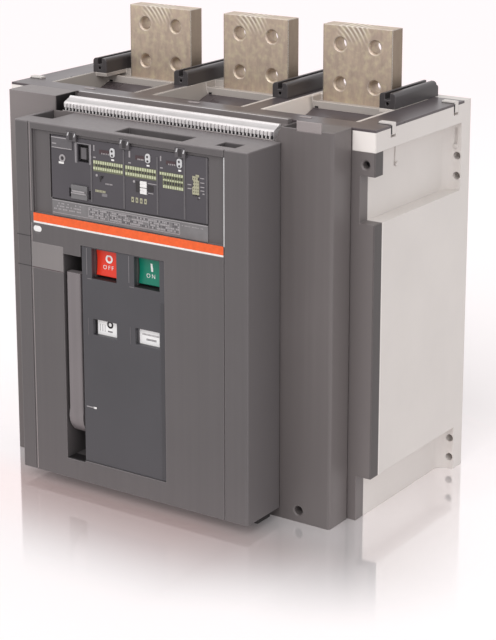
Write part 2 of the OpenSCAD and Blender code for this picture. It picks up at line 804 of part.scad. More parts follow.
// A slotted bar beside a pole from y back to the bars' common rear end, with rounded top corners and a screw hole
module guide_bar(x, y) {
    top_z = case_h + bar_h;
    length = bar_back_y - y;
    color([0.3, 0.3, 0.32]) translate([x, y, 0]) difference() {
        union() {
            box([-bar_w / 2, 0, case_h], [bar_w / 2, length - bar_r, top_z - bar_r]);
            box([-bar_w / 2, 0, case_h], [bar_w / 2, length, top_z - 2 * bar_r]);
            box([-bar_w / 2 + bar_r, 0, case_h], [bar_w / 2 - bar_r, length - bar_r, top_z]);
            for (s = [-1, 1])
                bore_y(s * (bar_w / 2 - bar_r), 0, top_z - bar_r, 2 * bar_r, length - bar_r);
            translate([-bar_w / 2, length - bar_r, top_z - 2 * bar_r]) rotate([0, 90, 0])
                cylinder(h = bar_w, r = bar_r);
        }
        box([-bar_slot_w / 2, -past, top_z - bar_slot_d], [bar_slot_w / 2, length + past, top_z + past]);
        bore_y(0, -past, bar_hole_z, bar_hole_d, bar_hole_l + past);
    }
}

// A rounded metal strip with two rows of teeth along its front
module auxiliary_strip() {
    teeth = floor((strip_w - 2) / tooth_pitch);
    color("lightgray") union() {
        translate([strip_left_x, cover_y, strip_z]) rotate([90, 0, 90]) linear_extrude(strip_w)
            polygon([for (p = strip_profile) p * strip_d]);
        for (k = [0 : teeth - 1])
            translate([strip_x + (k - (teeth - 1) / 2) * tooth_pitch, cover_y, strip_z]) {
                box([-tooth_w / 2, 0.01 * strip_d, 0.25 * strip_d],
                    [tooth_w / 2, 0.19 * strip_d, 0.5 * strip_d]);
                box([-low_tooth_w / 2, 0.05 * strip_d, 0.06 * strip_d],
                    [low_tooth_w / 2, 0.18 * strip_d, 0.26 * strip_d]);
            }
    }
}

module auxiliary_rail() {
    color("gray") translate([strip_left_x, cover_y + strip_d, strip_z]) rotate([90, 0, 90])
        linear_extrude(strip_w)
            polygon([[0, 0], [cover_d - strip_d, 0], [cover_d - strip_d, rail_h], [rail_step_d, rail_h],
                [rail_step_d, rail_step_h], [0, rail_step_h]]);
}

// A hook of the casing that laps over the top plate's edge
module casing_clip(side, y) {
    color("gainsboro") mirror([side < 0 ? 1 : 0, 0, 0]) union() {
        box([side_x - clip_w, y, case_h], [side_x, y + clip_l, case_h + clip_t]);
        box([side_x - clip_notch_w + seat_gap, y, case_h - clip_leg_h], [side_x, y + clip_l, case_h + past]);
    }
}

module panel_latch() {
    color([0.2, 0.2, 0.2])
        box([panel_x - 26, cover_y - 34, 4], [panel_x - 4, cover_y - 12, panel_lift]);
}

rear_casing();
top_plate();
front_cover();
cover_tab();
frame();
front_panel();
control_plate();
lever_surround();
trip_unit();
test_socket();
rating_plug();
setting_keys();
status_lights();
trip_clip(clip_x[0]);  // trip_clip_left
trip_clip(clip_x[1]);  // trip_clip_middle
trip_clip(clip_x[2]);  // trip_clip_right
label_strip();
accent_stripe();
accent_line();
blank_plate();
seal_cap();
charging_lever();
lever_pin();
button(off_x, "red");  // off_button
button(on_x, "green");  // on_button
indicator(off_x);  // contact_window
indicator(on_x);  // spring_window
terminal_surround(0);  // terminal_surround_left
terminal_surround(1);  // terminal_surround_middle
terminal_surround(2);  // terminal_surround_right
terminal(pole_x[0]);  // terminal_left
terminal(pole_x[1]);  // terminal_middle
terminal(pole_x[2]);  // terminal_right
guide_bar(-outer_bar_x, bar_y);  // guide_bar_1
guide_bar(-inner_bar_x, bar_y - inner_bar_extra);  // guide_bar_2
guide_bar(inner_bar_x, bar_y - inner_bar_extra);  // guide_bar_3
guide_bar(outer_bar_x, bar_y);  // guide_bar_4
auxiliary_strip();
auxiliary_rail();
casing_clip(-1, clip_y[0]);  // casing_clip_left_front
casing_clip(-1, clip_y[1]);  // casing_clip_left_rear
casing_clip(1, clip_y[0]);  // casing_clip_right_front
casing_clip(1, clip_y[1]);  // casing_clip_right_rear
panel_latch();
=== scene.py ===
"""A three-pole power circuit breaker: finishes for the solids of the frame, small parts on them, and a studio."""

import math

import bmesh
import bpy
import numpy as np
from mathutils import Euler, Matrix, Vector


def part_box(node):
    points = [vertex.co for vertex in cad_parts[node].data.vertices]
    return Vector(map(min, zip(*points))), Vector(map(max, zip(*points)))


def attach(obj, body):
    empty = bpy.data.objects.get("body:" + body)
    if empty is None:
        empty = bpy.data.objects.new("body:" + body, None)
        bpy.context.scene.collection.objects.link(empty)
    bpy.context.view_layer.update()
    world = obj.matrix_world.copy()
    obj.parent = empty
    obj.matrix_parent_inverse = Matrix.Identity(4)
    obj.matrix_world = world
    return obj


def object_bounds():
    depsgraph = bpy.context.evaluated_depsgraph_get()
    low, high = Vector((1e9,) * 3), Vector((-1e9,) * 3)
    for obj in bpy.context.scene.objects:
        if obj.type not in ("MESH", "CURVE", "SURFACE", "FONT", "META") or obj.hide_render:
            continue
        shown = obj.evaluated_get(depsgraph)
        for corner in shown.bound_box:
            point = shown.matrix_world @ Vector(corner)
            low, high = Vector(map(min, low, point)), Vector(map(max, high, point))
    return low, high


bl_info = {
    "name": "Circuit breaker",
    "version": (1, 0, 0),
    "blender": (4, 5, 0),
    "location": "View3D > Sidebar > Breaker",
    "description": "Finishes and small parts of a moulded case circuit breaker",
    "category": "Object",
}

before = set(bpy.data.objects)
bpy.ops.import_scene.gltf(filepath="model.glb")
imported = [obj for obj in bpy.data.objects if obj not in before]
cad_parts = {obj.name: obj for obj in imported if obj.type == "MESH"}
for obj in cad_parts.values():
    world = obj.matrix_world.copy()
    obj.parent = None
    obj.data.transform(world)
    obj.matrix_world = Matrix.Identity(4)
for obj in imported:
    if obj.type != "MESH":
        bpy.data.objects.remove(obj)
CAD_BOX = [list(corner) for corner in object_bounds()]
MM = 0.001
SUNK = 0.2  # millimetres by which a small part reaches into the face under it
PRINT = 0.3  # usual thickness of a print in millimetres
TONES = ("pale", "grey", "dim", "dark", "white", "beige")
PALE, GREY, DIM, DARK, WHITE, BEIGE = (f"{tone} print" for tone in TONES)
BLACK = "black plastic"

# Starts of the names of the CAD nodes that each finish is on
NODES_OF = {
    "cover plastic": "front_cover frame",
    "panel plastic": "front_panel seal_cap",
    "tab plastic": "cover_tab",
    "rail plastic": "auxiliary_rail",
    "plate plastic": "top_plate",
    "control plastic": "control_plate",
    "casing plastic": "casing_clip rear_casing",
    "surround plastic": "terminal_surround",
    "trip plastic": "trip_unit",
    "bar plastic": "guide_bar",
    "black plastic": "lever_surround test_socket panel_latch",
    "lever plastic": "charging_lever",
    "plug plastic": "rating_plug",
    "blank plastic": "blank_plate",
    "clip plastic": "trip_clip",
    "label plastic": "label_strip",
    "stripe print": "accent_stripe",
    "white print": "accent_line setting_keys",
    "card plastic": "contact_window spring_window",
    "off plastic": "off_button",
    "on plastic": "on_button",
    "lens plastic": "status_lights",
    "tinned copper": "terminal_left terminal_middle terminal_right",
    "bright strip": "auxiliary_strip",
    "pin steel": "lever_pin",
}


# ---- Sizes and colours


class BreakerSizes(bpy.types.PropertyGroup):
    """Sizes of the small parts"""

    edge_radius: bpy.props.FloatProperty(
        name="Edge softening", description="Radius to which moulded edges look rounded",
        default=0.0012, unit="LENGTH",
    )
    symbol_size: bpy.props.FloatProperty(
        name="Symbol size", description="Height of the symbols on the buttons", default=0.0090, unit="LENGTH",
    )
    screw_diameter: bpy.props.FloatProperty(
        name="Screw diameter", description="Diameter of the screw heads", default=0.0062, unit="LENGTH",
    )


def tint(name, description, rgb):
    """A colour property with its default."""
    return bpy.props.FloatVectorProperty(
        name=name, description=description, subtype="COLOR", size=3, min=0.0, max=1.0, default=rgb
    )


class BreakerColours(bpy.types.PropertyGroup):
    """Colours of the finishes"""

    cover: tint("Cover", "Dark grey of the cover and its flange", (0.142, 0.126, 0.125))
    panel: tint("Front panel", "Dark grey of the front panel", (0.106, 0.097, 0.099))
    plate: tint("Top plate", "Dark mauve grey of the top plate", (0.090, 0.074, 0.079))
    control: tint("Control plate", "Darker grey of the control plate", (0.064, 0.062, 0.069))
    casing: tint("Casing", "Light grey of the rear casing", (0.735, 0.695, 0.668))
    surround: tint("Terminal surrounds", "Pale moulding round the terminals", (0.700, 0.640, 0.595))
    trip: tint("Trip unit", "Near black of the trip unit", (0.070, 0.064, 0.073))
    bar: tint("Guide bars", "Black grey of the guide bars", (0.057, 0.051, 0.053))
    copper: tint("Terminals", "Tinned copper of the terminals", (0.560, 0.450, 0.350))
    strip: tint("Terminal strip", "Bright grey of the auxiliary strip", (0.880, 0.850, 0.850))
    lever: tint("Lever", "Grey of the charging lever", (0.185, 0.166, 0.171))
    accent: tint("Accent stripe", "Orange of the stripe", (0.860, 0.120, 0.020))
    stop: tint("Off button", "Red of the off button", (0.800, 0.040, 0.016))
    go: tint("On button", "Green of the on button", (0.000, 0.190, 0.120))
    mark: tint("Setting rows", "Yellow green of the setting rows", (0.560, 0.590, 0.400))


# ---- Places


def span(node_name):
    """The lowest and highest corner of a CAD node as arrays."""
    low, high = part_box(node_name)
    return np.array(low), np.array(high)


def face_of(node_name):
    """The lowest corner of a CAD node, and the width and height of its front in millimetres."""
    low, high = span(node_name)
    return low, (high[0] - low[0]) / MM, (high[2] - low[2]) / MM


def shift(place, x=0.0, y=0.0, z=0.0):
    """A place moved by millimetres."""
    return np.asarray(place, float) + MM * np.array([x, y, z])


def on_face(corner, depth):
    """A corner moved along y to a depth."""
    return np.array([corner[0], depth, corner[2]])


def spots(corner, pairs):
    """Places on a front face, from pairs of millimetres to the right of and above its corner."""
    return np.stack([shift(corner, x=right, z=up) for right, up in pairs])


# ---- Shapes, in millimetres at places in metres


def outline(width, height, radius, steps=4):
    """Outline of a rounded rectangle, anticlockwise: four quarter circles of the radius, whose centres are the
    corners of the inner rectangle."""
    turn = np.linspace(0.0, math.pi / 2, steps)
    angle = (np.arange(4)[:, None] * math.pi / 2 + turn).ravel()
    sign_x = np.repeat([1, -1, -1, 1], steps)
    sign_y = np.repeat([1, 1, -1, -1], steps)
    x = sign_x * (width / 2 - radius) + radius * np.cos(angle)
    y = sign_y * (height / 2 - radius) + radius * np.sin(angle)
    return np.stack([x, y], 1)


def circle(radius, steps):
    """Outline of a circle, anticlockwise."""
    angle = np.arange(steps) * 2 * math.pi / steps
    return radius * np.stack([np.cos(angle), np.sin(angle)], 1)


def basis(facing):
    """Right, up and outward directions of a face that looks along an axis, such as -y for the front."""
    table = {
        "-y": ((1, 0, 0), (0, 0, 1), (0, -1, 0)),
        "+x": ((0, 1, 0), (0, 0, 1), (1, 0, 0)),
        "-x": ((0, -1, 0), (0, 0, 1), (-1, 0, 0)),
        "+z": ((1, 0, 0), (0, 1, 0), (0, 0, 1)),
        "-z": ((1, 0, 0), (0, -1, 0), (0, 0, -1)),
    }
    return np.array(table[facing], float)


def ring_faces(copies, levels, count, closed=False):
    """Faces between neighbouring rings of each copy, with a face over the first and the last ring unless the rings
    close on themselves. Point k of ring i of copy c has the number (c * levels + i) * count + k."""
    copy = np.arange(copies)[:, None, None]
    level = np.arange(levels if closed else levels - 1)[None, :, None]
    k = np.arange(count)[None, None, :]
    after = (k + 1) % count
    low, high = (copy * levels + level) * count, (copy * levels + (level + 1) % levels) * count
    quads = np.stack([low + k, low + after, high + after, high + k], -1).reshape(-1, 4)
    if closed:
        return quads[:, ::-1].tolist()
    first = np.arange(copies)[:, None] * levels * count + np.arange(count)
    return quads.tolist() + first[:, ::-1].tolist() + (first + (levels - 1) * count).tolist()


def make(name, points, faces, material, body="case", smooth=None):
    """A finished object from points and faces, on a body. Edges sharper than the angle stay sharp."""
    mesh = bpy.data.meshes.new(name)
    mesh.from_pydata(np.asarray(points, float).reshape(-1, 3).tolist(), [], faces)
    mesh.validate()
    mesh.update()
    if smooth is not None:
        mesh.shade_smooth()
        mesh.set_sharp_from_angle(angle=math.radians(smooth))
    mesh.materials.append(bpy.data.materials[material])
    piece = bpy.data.objects.new(name, mesh)
    bpy.context.scene.collection.objects.link(piece)
    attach(piece, body)
    return piece


def stacked(name, outlines, heights, places, material, facing="-y", closed=False, **dress):
    """Closed outlines lifted to their heights over a face, joined by faces, and copied to every place. A point is
    place + x right + y up + height outward. Outlines that differ from copy to copy have the copies first."""
    right, up, out = basis(facing)
    flat = outlines[..., 0:1] * right + outlines[..., 1:2] * up
    stack = MM * (flat + np.asarray(heights, float)[:, None, None] * out)
    points = np.asarray(places, float).reshape(-1, 1, 1, 3) + stack
    faces = ring_faces(len(points), len(heights), outlines.shape[-2], closed)
    return make(name, points, faces, material, **dress)


def tiles(name, places, width, height, thickness, material, radius=0.3, lean=0.0, **dress):
    """Rounded tiles on a face, one at every place. The outline is carried up to the thickness less a quarter, and
    drawn in to the top. A lean shears the tile sideways with its height on the face."""
    drop = min(thickness / 4, width / 4, height / 4)
    rim = outline(width, height, radius)
    top = outline(width - 2 * drop, height - 2 * drop, max(radius - drop, 0.01))
    stack = np.stack([rim, rim, top])
    stack[..., 0] += lean * stack[..., 1]
    return stacked(name, stack, [-SUNK, thickness - drop, thickness], places, material, **dress)


def turned(name, profile, places, material, steps=32, **dress):
    """A turned part at every place: the profile's radii and heights carried round an axis out of the face."""
    radii, heights = np.asarray(profile, float).T
    rings = radii[:, None, None] * circle(1.0, steps)
    return stacked(name, rings, heights, places, material, smooth=40, **dress)


def dots(name, places, radius, height, material, steps=16, core=0.1):
    """Flat discs on a front face: a turned part of one height."""
    return turned(name, [(radius, -SUNK), (radius, height), (core, height)], places, material, steps)


def hoop(name, places, radius, band, thickness, material, **dress):
    """A flat ring at every place: a section, band wide and thickness high, carried round a circle."""
    inner, outer = circle(radius - band / 2, 48), circle(radius + band / 2, 48)
    rings, heights = np.stack([inner, inner, outer, outer]), [-SUNK, thickness, thickness, -SUNK]
    return stacked(name, rings, heights, places, material, closed=True, **dress)


def plates(name, corner, rows, thickness, material, **dress):
    """Flat bars on a face. Each row gives the left, right, bottom and top of one, from the corner, and the bar is
    its rectangle carried from the face to the thickness, drawn in by a quarter of it at the top."""
    left, right, bottom, top = np.asarray(rows, float).T
    edge = thickness / 4
    rims = []
    for inset in (0.0, 0.0, edge):
        west, east, south, north = left + inset, right - inset, bottom + inset, top - inset
        rim = np.stack([east, north, west, north, west, south, east, south], 1)
        rims.append(rim.reshape(-1, 4, 2))
    heights = [-SUNK, thickness - edge, thickness]
    return stacked(name, np.stack(rims, 1), heights, corner, material, **dress)


def layers(corner, *table):
    """Plates on a front face, from rows of name, height over the face, thickness, material and bars."""
    for name, lift, thickness, material, rows in table:
        plates(name, shift(corner, y=-lift), rows, thickness, material)


def series(first, last, count, width, bottom, top):
    """Rows of equal bars for plates, with their middles evenly spaced from the first to the last."""
    middle = np.linspace(first, last, count)
    low, high = np.full(count, bottom), np.full(count, top)
    return np.stack([middle - width / 2, middle + width / 2, low, high], 1)


def joined(*parts):
    """Rows of several series in one array."""
    return np.concatenate(parts)


def letters(name, text, place, height, material, body, spacing):
    """Plain raised letters on a front face: the filled outline of the text, thickened, with its right, up and
    outward parts turned to the face's directions."""
    capital = 0.72  # height of a capital letter as a share of the type's size
    curve = bpy.data.curves.new(name, "FONT")
    curve.body, curve.size, curve.extrude = text, height / capital, SUNK * MM
    curve.space_character = spacing
    curve.align_x, curve.align_y = "CENTER", "CENTER"
    holder = bpy.data.objects.new(name, curve)
    flat = bpy.data.meshes.new_from_object(holder)
    points = np.empty(3 * len(flat.vertices))
    flat.vertices.foreach_get("co", points)
    faces = [tuple(face.vertices) for face in flat.polygons]
    bpy.data.objects.remove(holder)
    bpy.data.curves.remove(curve)
    bpy.data.meshes.remove(flat)
    piece = make(name, points.reshape(-1, 3) @ basis("-y") + place, faces, material, body)
    merged = bmesh.new()
    merged.from_mesh(piece.data)
    bmesh.ops.remove_doubles(merged, verts=merged.verts, dist=1e-6)
    bmesh.ops.recalc_face_normals(merged, faces=merged.faces)
    merged.to_mesh(piece.data)
    merged.free()
    return piece


# ---- Shader nodes


def fill(tree, made, links):
    """Gives a node's inputs their links or values, by name or number. A colour gets its alpha."""
    for key, value in links.items():
        socket = made.inputs[key]
        if isinstance(value, bpy.types.NodeSocket):
            tree.links.new(value, socket)
        elif socket.type == "RGBA":
            socket.default_value = (*value, 1.0)
        else:
            socket.default_value = value


def node(tree, kind, links=(), **settings):
    """A shader node with its settings and its inputs."""
    made = tree.nodes.new("ShaderNode" + kind)
    for key, value in settings.items():
        setattr(made, key, value)
    fill(tree, made, dict(links))
    return made


def calc(tree, operation, a, b=None, clamp=False):
    """The result of a Math node."""
    links = {0: a} if b is None else {0: a, 1: b}
    return node(tree, "Math", links, operation=operation, use_clamp=clamp).outputs[0]


def times(tree, first, *others):
    """The product of several values."""
    for other in others:
        first = calc(tree, "MULTIPLY", first, other)
    return first


def plus(tree, a, b):
    """The sum of two values."""
    return calc(tree, "ADD", a, b)


def far_off(tree, a, b):
    """The length of the slope over two legs."""
    return calc(tree, "SQRT", plus(tree, times(tree, a, a), times(tree, b, b)))


def ranged(tree, value, low=0.0, high=1.0, to_low=0.0, to_high=1.0, kind="LINEAR"):
    """A value taken from one span to another and held inside it."""
    links = {"Value": value, "From Min": low, "From Max": high, "To Min": to_low, "To Max": to_high}
    return node(tree, "MapRange", links, interpolation_type=kind).outputs["Result"]


def noise(tree, place, scale, detail, rough=0.5):
    """The value of a noise."""
    links = {"Vector": place, "Scale": scale, "Detail": detail, "Roughness": rough}
    return node(tree, "TexNoise", links).outputs["Fac"]


def own_place(tree):
    """The object's own coordinates."""
    return node(tree, "TexCoord").outputs["Object"]


def axes(tree):
    """The object's own coordinates, one by one."""
    return node(tree, "SeparateXYZ", {0: own_place(tree)}).outputs


def stretched(tree, factors):
    """The object's own coordinates, each made larger by its factor."""
    links = {0: own_place(tree), 1: factors}
    return node(tree, "VectorMath", links, operation="MULTIPLY").outputs["Vector"]


def mix(tree, factor, low, high, blend="MIX"):
    """A colour between two."""
    links = {0: factor, 6: low, 7: high}
    return node(tree, "Mix", links, data_type="RGBA", blend_type=blend).outputs[2]


def scaled(rgb, k):
    """A colour made lighter or darker, by one factor or by one for each part."""
    return tuple(min(1.0, c * f) for c, f in zip(rgb, np.broadcast_to(k, 3).tolist()))


def ramps(tree, *spans):
    """Product of straight ramps over the object's own place. Each gives an axis, and where it is 0 and 1."""
    place = axes(tree)
    return times(tree, *(ranged(tree, place[axis], start, end) for axis, start, end in spans))


# ---- Shader groups


def new_group(name, inputs, outputs):
    """A node group with its sockets: it, its inner inputs and its output node. Normal and Stretch are vectors."""
    group = bpy.data.node_groups.new(name, "ShaderNodeTree")
    for label in (*inputs, *outputs):
        kind = "NodeSocketVector" if label in ("Normal", "Stretch") else "NodeSocketFloat"
        side = "INPUT" if label in inputs else "OUTPUT"
        socket = group.interface.new_socket(name=label, in_out=side, socket_type=kind)
        if label in inputs:
            socket.default_value = inputs[label]
    return group, group.nodes.new("NodeGroupInput").outputs, group.nodes.new("NodeGroupOutput")


def build_grain_group():
    """Moulded grain: fine noise plus a little coarser noise as height, and slow noise as a mask."""
    inputs = {"Size": 0.0006, "Drift": 0.05}
    group, given, leave = new_group("moulded grain", inputs, ("Height", "Mask"))
    place = own_place(group)
    scale = calc(group, "DIVIDE", 1.0, given["Size"])
    fine = noise(group, place, scale, 2.0, 0.6)
    coarse = noise(group, place, times(group, scale, 0.18), 3.0)
    slow = noise(group, place, calc(group, "DIVIDE", 1.0, given["Drift"]), 3.0, 0.55)
    height = plus(group, fine, times(group, coarse, 0.5))
    fill(group, leave, {"Height": height, "Mask": ranged(group, slow, 0.3, 0.7)})


def build_flow_group():
    """Upright flow lines of a moulding: noise that changes fast sideways and hardly with the height."""
    group, given, leave = new_group("flow lines", {"Stretch": (170.0, 170.0, 2.5)}, ("Mask",))
    lines = noise(group, stretched(group, given["Stretch"]), 1.0, 3.0, 0.6)
    fill(group, leave, {"Mask": ranged(group, lines, 0.3, 0.7)})


def build_edge_group():
    """Softened edges: the normal rounded over the radius, and a mask that is 1 where it leaves the face's."""
    inputs = {"Radius": 0.0008, "Sharpness": 6.0}
    group, given, leave = new_group("soft edges", inputs, ("Normal", "Mask"))
    bevel = node(group, "Bevel", {"Radius": given["Radius"]}, samples=6).outputs[0]
    flat = node(group, "NewGeometry").outputs["Normal"]
    dot = node(group, "VectorMath", {0: bevel, 1: flat}, operation="DOT_PRODUCT").outputs["Value"]
    mask = calc(group, "MULTIPLY", calc(group, "SUBTRACT", 1.0, dot), given["Sharpness"], clamp=True)
    fill(group, leave, {"Normal": bevel, "Mask": mask})


def build_brush_group():
    """Drawn and cut metal: noise stretched along an axis as height, the same with slower blotches as a mask, and
    fine specks as stains."""
    inputs = {"Stretch": (60.0, 900.0, 900.0), "Blotch": 90.0}
    group, given, leave = new_group("drawn metal", inputs, ("Height", "Mask", "Stain"))
    place = own_place(group)
    lines = noise(group, stretched(group, given["Stretch"]), 1.0, 4.0, 0.65)
    blotch = noise(group, place, given["Blotch"], 5.0, 0.7)
    speck = noise(group, place, times(group, given["Blotch"], 6.0), 2.0)
    both = plus(group, times(group, lines, 0.6), times(group, blotch, 0.4))
    mask, stain = ranged(group, both, 0.32, 0.68), ranged(group, speck, 0.45, 0.75)
    fill(group, leave, {"Height": lines, "Mask": mask, "Stain": stain})


def grouped(tree, name, **values):
    """The outputs of a group node in a material with its own values."""
    made = tree.nodes.new("ShaderNodeGroup")
    made.node_tree = bpy.data.node_groups[name]
    fill(tree, made, values)
    return made.outputs


# ---- Materials


def shaded(name):
    """A new material with its tree and its Principled shader."""
    material = bpy.data.materials.new(name)
    material.use_nodes = True
    return material.node_tree, material.node_tree.nodes["Principled BSDF"]


def feed(tree, shader, colour, roughness, height, normal, strength, depth):
    """Gives the shader its colour, its roughness, and a bump over the softened normal."""
    links = {"Height": height, "Normal": normal, "Strength": strength, "Distance": depth}
    bump = node(tree, "Bump", links).outputs["Normal"]
    fill(tree, shader, {"Base Color": colour, "Roughness": roughness, "Normal": bump})


def plastic(name, rgb, rough=0.42, grain=0.0006, depth=0.00003, drift=0.06, vary=0.06, edge=None, glow=1.6,
            coat=0.0, streak=0.0, painted_light=()):
    """Moulded plastic: a base colour that drifts slowly, with faint upright flow lines, fine grain in the height,
    and softened edges with a painted highlight. Each zone of painted light or shade gives a factor for the colour
    and the ramps over which it is reached."""
    tree, shader = shaded(name)
    surface = grouped(tree, "moulded grain", Size=grain, Drift=drift)
    radius = bpy.context.scene.breaker_sizes.edge_radius if edge is None else edge
    edges = grouped(tree, "soft edges", Radius=radius)
    tone = surface["Mask"]
    if streak:
        lines = grouped(tree, "flow lines")["Mask"]
        tone = plus(tree, times(tree, tone, 1.0 - streak), times(tree, lines, streak))
    colour = mix(tree, tone, scaled(rgb, 1 - vary), scaled(rgb, 1 + vary))
    # painted light and shade: each zone lightens or darkens the colour
    for factor, *spans in painted_light:
        colour = mix(tree, ramps(tree, *spans), colour, scaled(rgb, factor))
    # painted highlight on the edges
    colour = mix(tree, times(tree, edges["Mask"], 0.8), colour, scaled(rgb, glow))
    roughness = ranged(tree, tone, to_low=rough - 0.04, to_high=rough + 0.05)
    feed(tree, shader, colour, roughness, surface["Height"], edges["Normal"], 0.35, depth)
    shader.inputs["Coat Weight"].default_value = coat


def banded(tree, part, stops):
    """Tone that follows the height within a CAD node. The stops give a share of its height and the tone there."""
    low, high = span(part)
    ramp = node(tree, "ValToRGB", {0: ranged(tree, axes(tree)[2], float(low[2]), float(high[2]))})
    marks = ramp.color_ramp.elements
    while len(marks) < len(stops):
        marks.new(0.5)
    for mark, (share, tone) in zip(marks, stops):
        mark.position, mark.color = share, (tone, tone, tone, 1.0)
    return ramp.outputs["Color"]


def metal(name, rgb, rough, stretch=(60.0, 900.0, 900.0), metallic=0.9, stain=0.12, bands=None):
    """Drawn metal: fine lines along an axis, blotches in colour and roughness, and small stains."""
    tree, shader = shaded(name)
    surface = grouped(tree, "drawn metal", Stretch=stretch)
    edges = grouped(tree, "soft edges", Radius=0.5 * MM)
    colour = mix(tree, surface["Mask"], scaled(rgb, 0.86), scaled(rgb, 1.14))
    if bands:
        colour = mix(tree, 1.0, colour, banded(tree, *bands), blend="MULTIPLY")
    colour = mix(tree, times(tree, surface["Stain"], stain), colour, scaled(rgb, 0.35))
    roughness = ranged(tree, surface["Mask"], to_low=rough + 0.08, to_high=rough - 0.06)
    feed(tree, shader, colour, roughness, surface["Height"], edges["Normal"], 0.4, 0.04 * MM)
    shader.inputs["Metallic"].default_value = metallic


def cut_copper(name, rgb):
    """Tinned copper cut by a mill: pale blotches over a warm ground, dark specks, and near the top edge the arcs
    that the cutter left. They are rings round a centre beside each terminal, seen near its top and its middle.
    The narrow sides get painted shade, and the edges a painted highlight."""
    tree, shader = shaded(name)
    surface = grouped(tree, "drawn metal", Stretch=(160.0, 160.0, 40.0), Blotch=24.0)
    edges = grouped(tree, "soft edges", Radius=1.4 * MM, Sharpness=7.0)
    low, high = span("terminal_middle")
    pitch, top, half = float(span("terminal_right")[0][0] - low[0]), float(high[2]), float(high[0])
    place = axes(tree)
    along = calc(tree, "MODULO", plus(tree, place[0], 2.5 * pitch), pitch)
    local = calc(tree, "SUBTRACT", along, pitch / 2)
    radius = far_off(tree, plus(tree, local, 55 * MM), calc(tree, "SUBTRACT", place[2], top - 45 * MM))
    ring = calc(tree, "SINE", times(tree, radius, 2 * math.pi / (4.6 * MM)))
    near = ranged(tree, place[2], top - 20 * MM, top - 6 * MM)
    central = ranged(tree, calc(tree, "ABSOLUTE", plus(tree, local, 5 * MM)), 22 * MM, 10 * MM)
    arcs = times(tree, ring, near, central)
    # mask of the narrow sides, which get painted shade
    shaded_flank = ranged(tree, calc(tree, "ABSOLUTE", local), half - 1.2 * MM, half - 0.6 * MM)
    ground, blotch = scaled(rgb, (0.80, 0.78, 0.84)), scaled(rgb, (1.18, 1.19, 1.18))
    colour = mix(tree, surface["Mask"], ground, blotch)
    for factor, other in (
        (calc(tree, "MULTIPLY", arcs, 0.85, clamp=True), (0.95, 0.90, 0.80)),
        (calc(tree, "MULTIPLY", arcs, -0.55, clamp=True), scaled(rgb, 0.4)),
        (times(tree, surface["Stain"], 0.45), (0.80, 0.74, 0.50)),
        (times(tree, shaded_flank, 0.85), scaled(rgb, (0.46, 0.44, 0.42))),
        # painted highlight on the edges
        (times(tree, edges["Mask"], 0.7), (0.90, 0.87, 0.82)),
    ):
        colour = mix(tree, factor, colour, other)
    height = plus(tree, surface["Height"], times(tree, arcs, 0.5))
    roughness = ranged(tree, surface["Mask"], to_low=0.52, to_high=0.40)
    feed(tree, shader, colour, roughness, height, edges["Normal"], 0.4, 0.06 * MM)
    shader.inputs["Metallic"].default_value = 0.6


# ---- Operators


def mouldings(colours):
    """The plastics of the large mouldings, with painted light and shade: their tone is made lighter or darker over
    zones, as a studio's large lamps would.
    """
    # Cover: a painted reflection lightens the upper left of the front, painted shade darkens the front towards the
    # bottom, painted light lightens the right side, and painted shade darkens the outer flank.
    top_left_reflection = (1.60, (0, 0.02, -0.19), (2, 0.27, 0.385))
    low_front_shade = (0.78, (1, -0.0830, -0.0843), (2, 0.20, 0.0))
    sides, shaded_flank = (1.13, (0, 0.1985, 0.1993)), (0.50, (0, 0.2235, 0.2245))
    plastic("cover plastic", colours.cover, streak=0.7, painted_light=(top_left_reflection, low_front_shade, sides, shaded_flank))
    # Panel: painted light on the right side and on the top.
    side, ledge = (1.24, (0, 0.1410, 0.1418)), (2.05, (2, 0.3810, 0.3823))
    plastic("panel plastic", colours.panel, streak=0.7, edge=0.0015, glow=2.1, painted_light=(side, ledge))
    # Casing: painted light on the outer right face towards the front and low down, and on the front faces.
    lit_outer_side = (1.22, (1, -0.0325, -0.0340), (0, 0.2240, 0.2249), (2, 0.345, 0.335))
    front = (1.24, (1, -0.0475, -0.0490))
    plastic("casing plastic", colours.casing, rough=0.5, vary=0.025, glow=1.08, grain=0.0008, depth=0.00005,
            painted_light=(lit_outer_side, front))
    # Terminal surrounds: painted shade towards the left, painted light on a near wall, and painted shade on the
    # back walls below their top edge.
    left, lit_near_wall = (0.55, (0, 0.07, -0.07)), (1.25, (0, 0.070, 0.076), (0, 0.115, 0.090))
    shaded_back_wall = (0.70, (1, 0.058, 0.064), (2, 0.3968, 0.3955))
    plastic("surround plastic", colours.surround, rough=0.4, vary=0.10, drift=0.03, glow=1.35,
            painted_light=(left, lit_near_wall, shaded_back_wall))


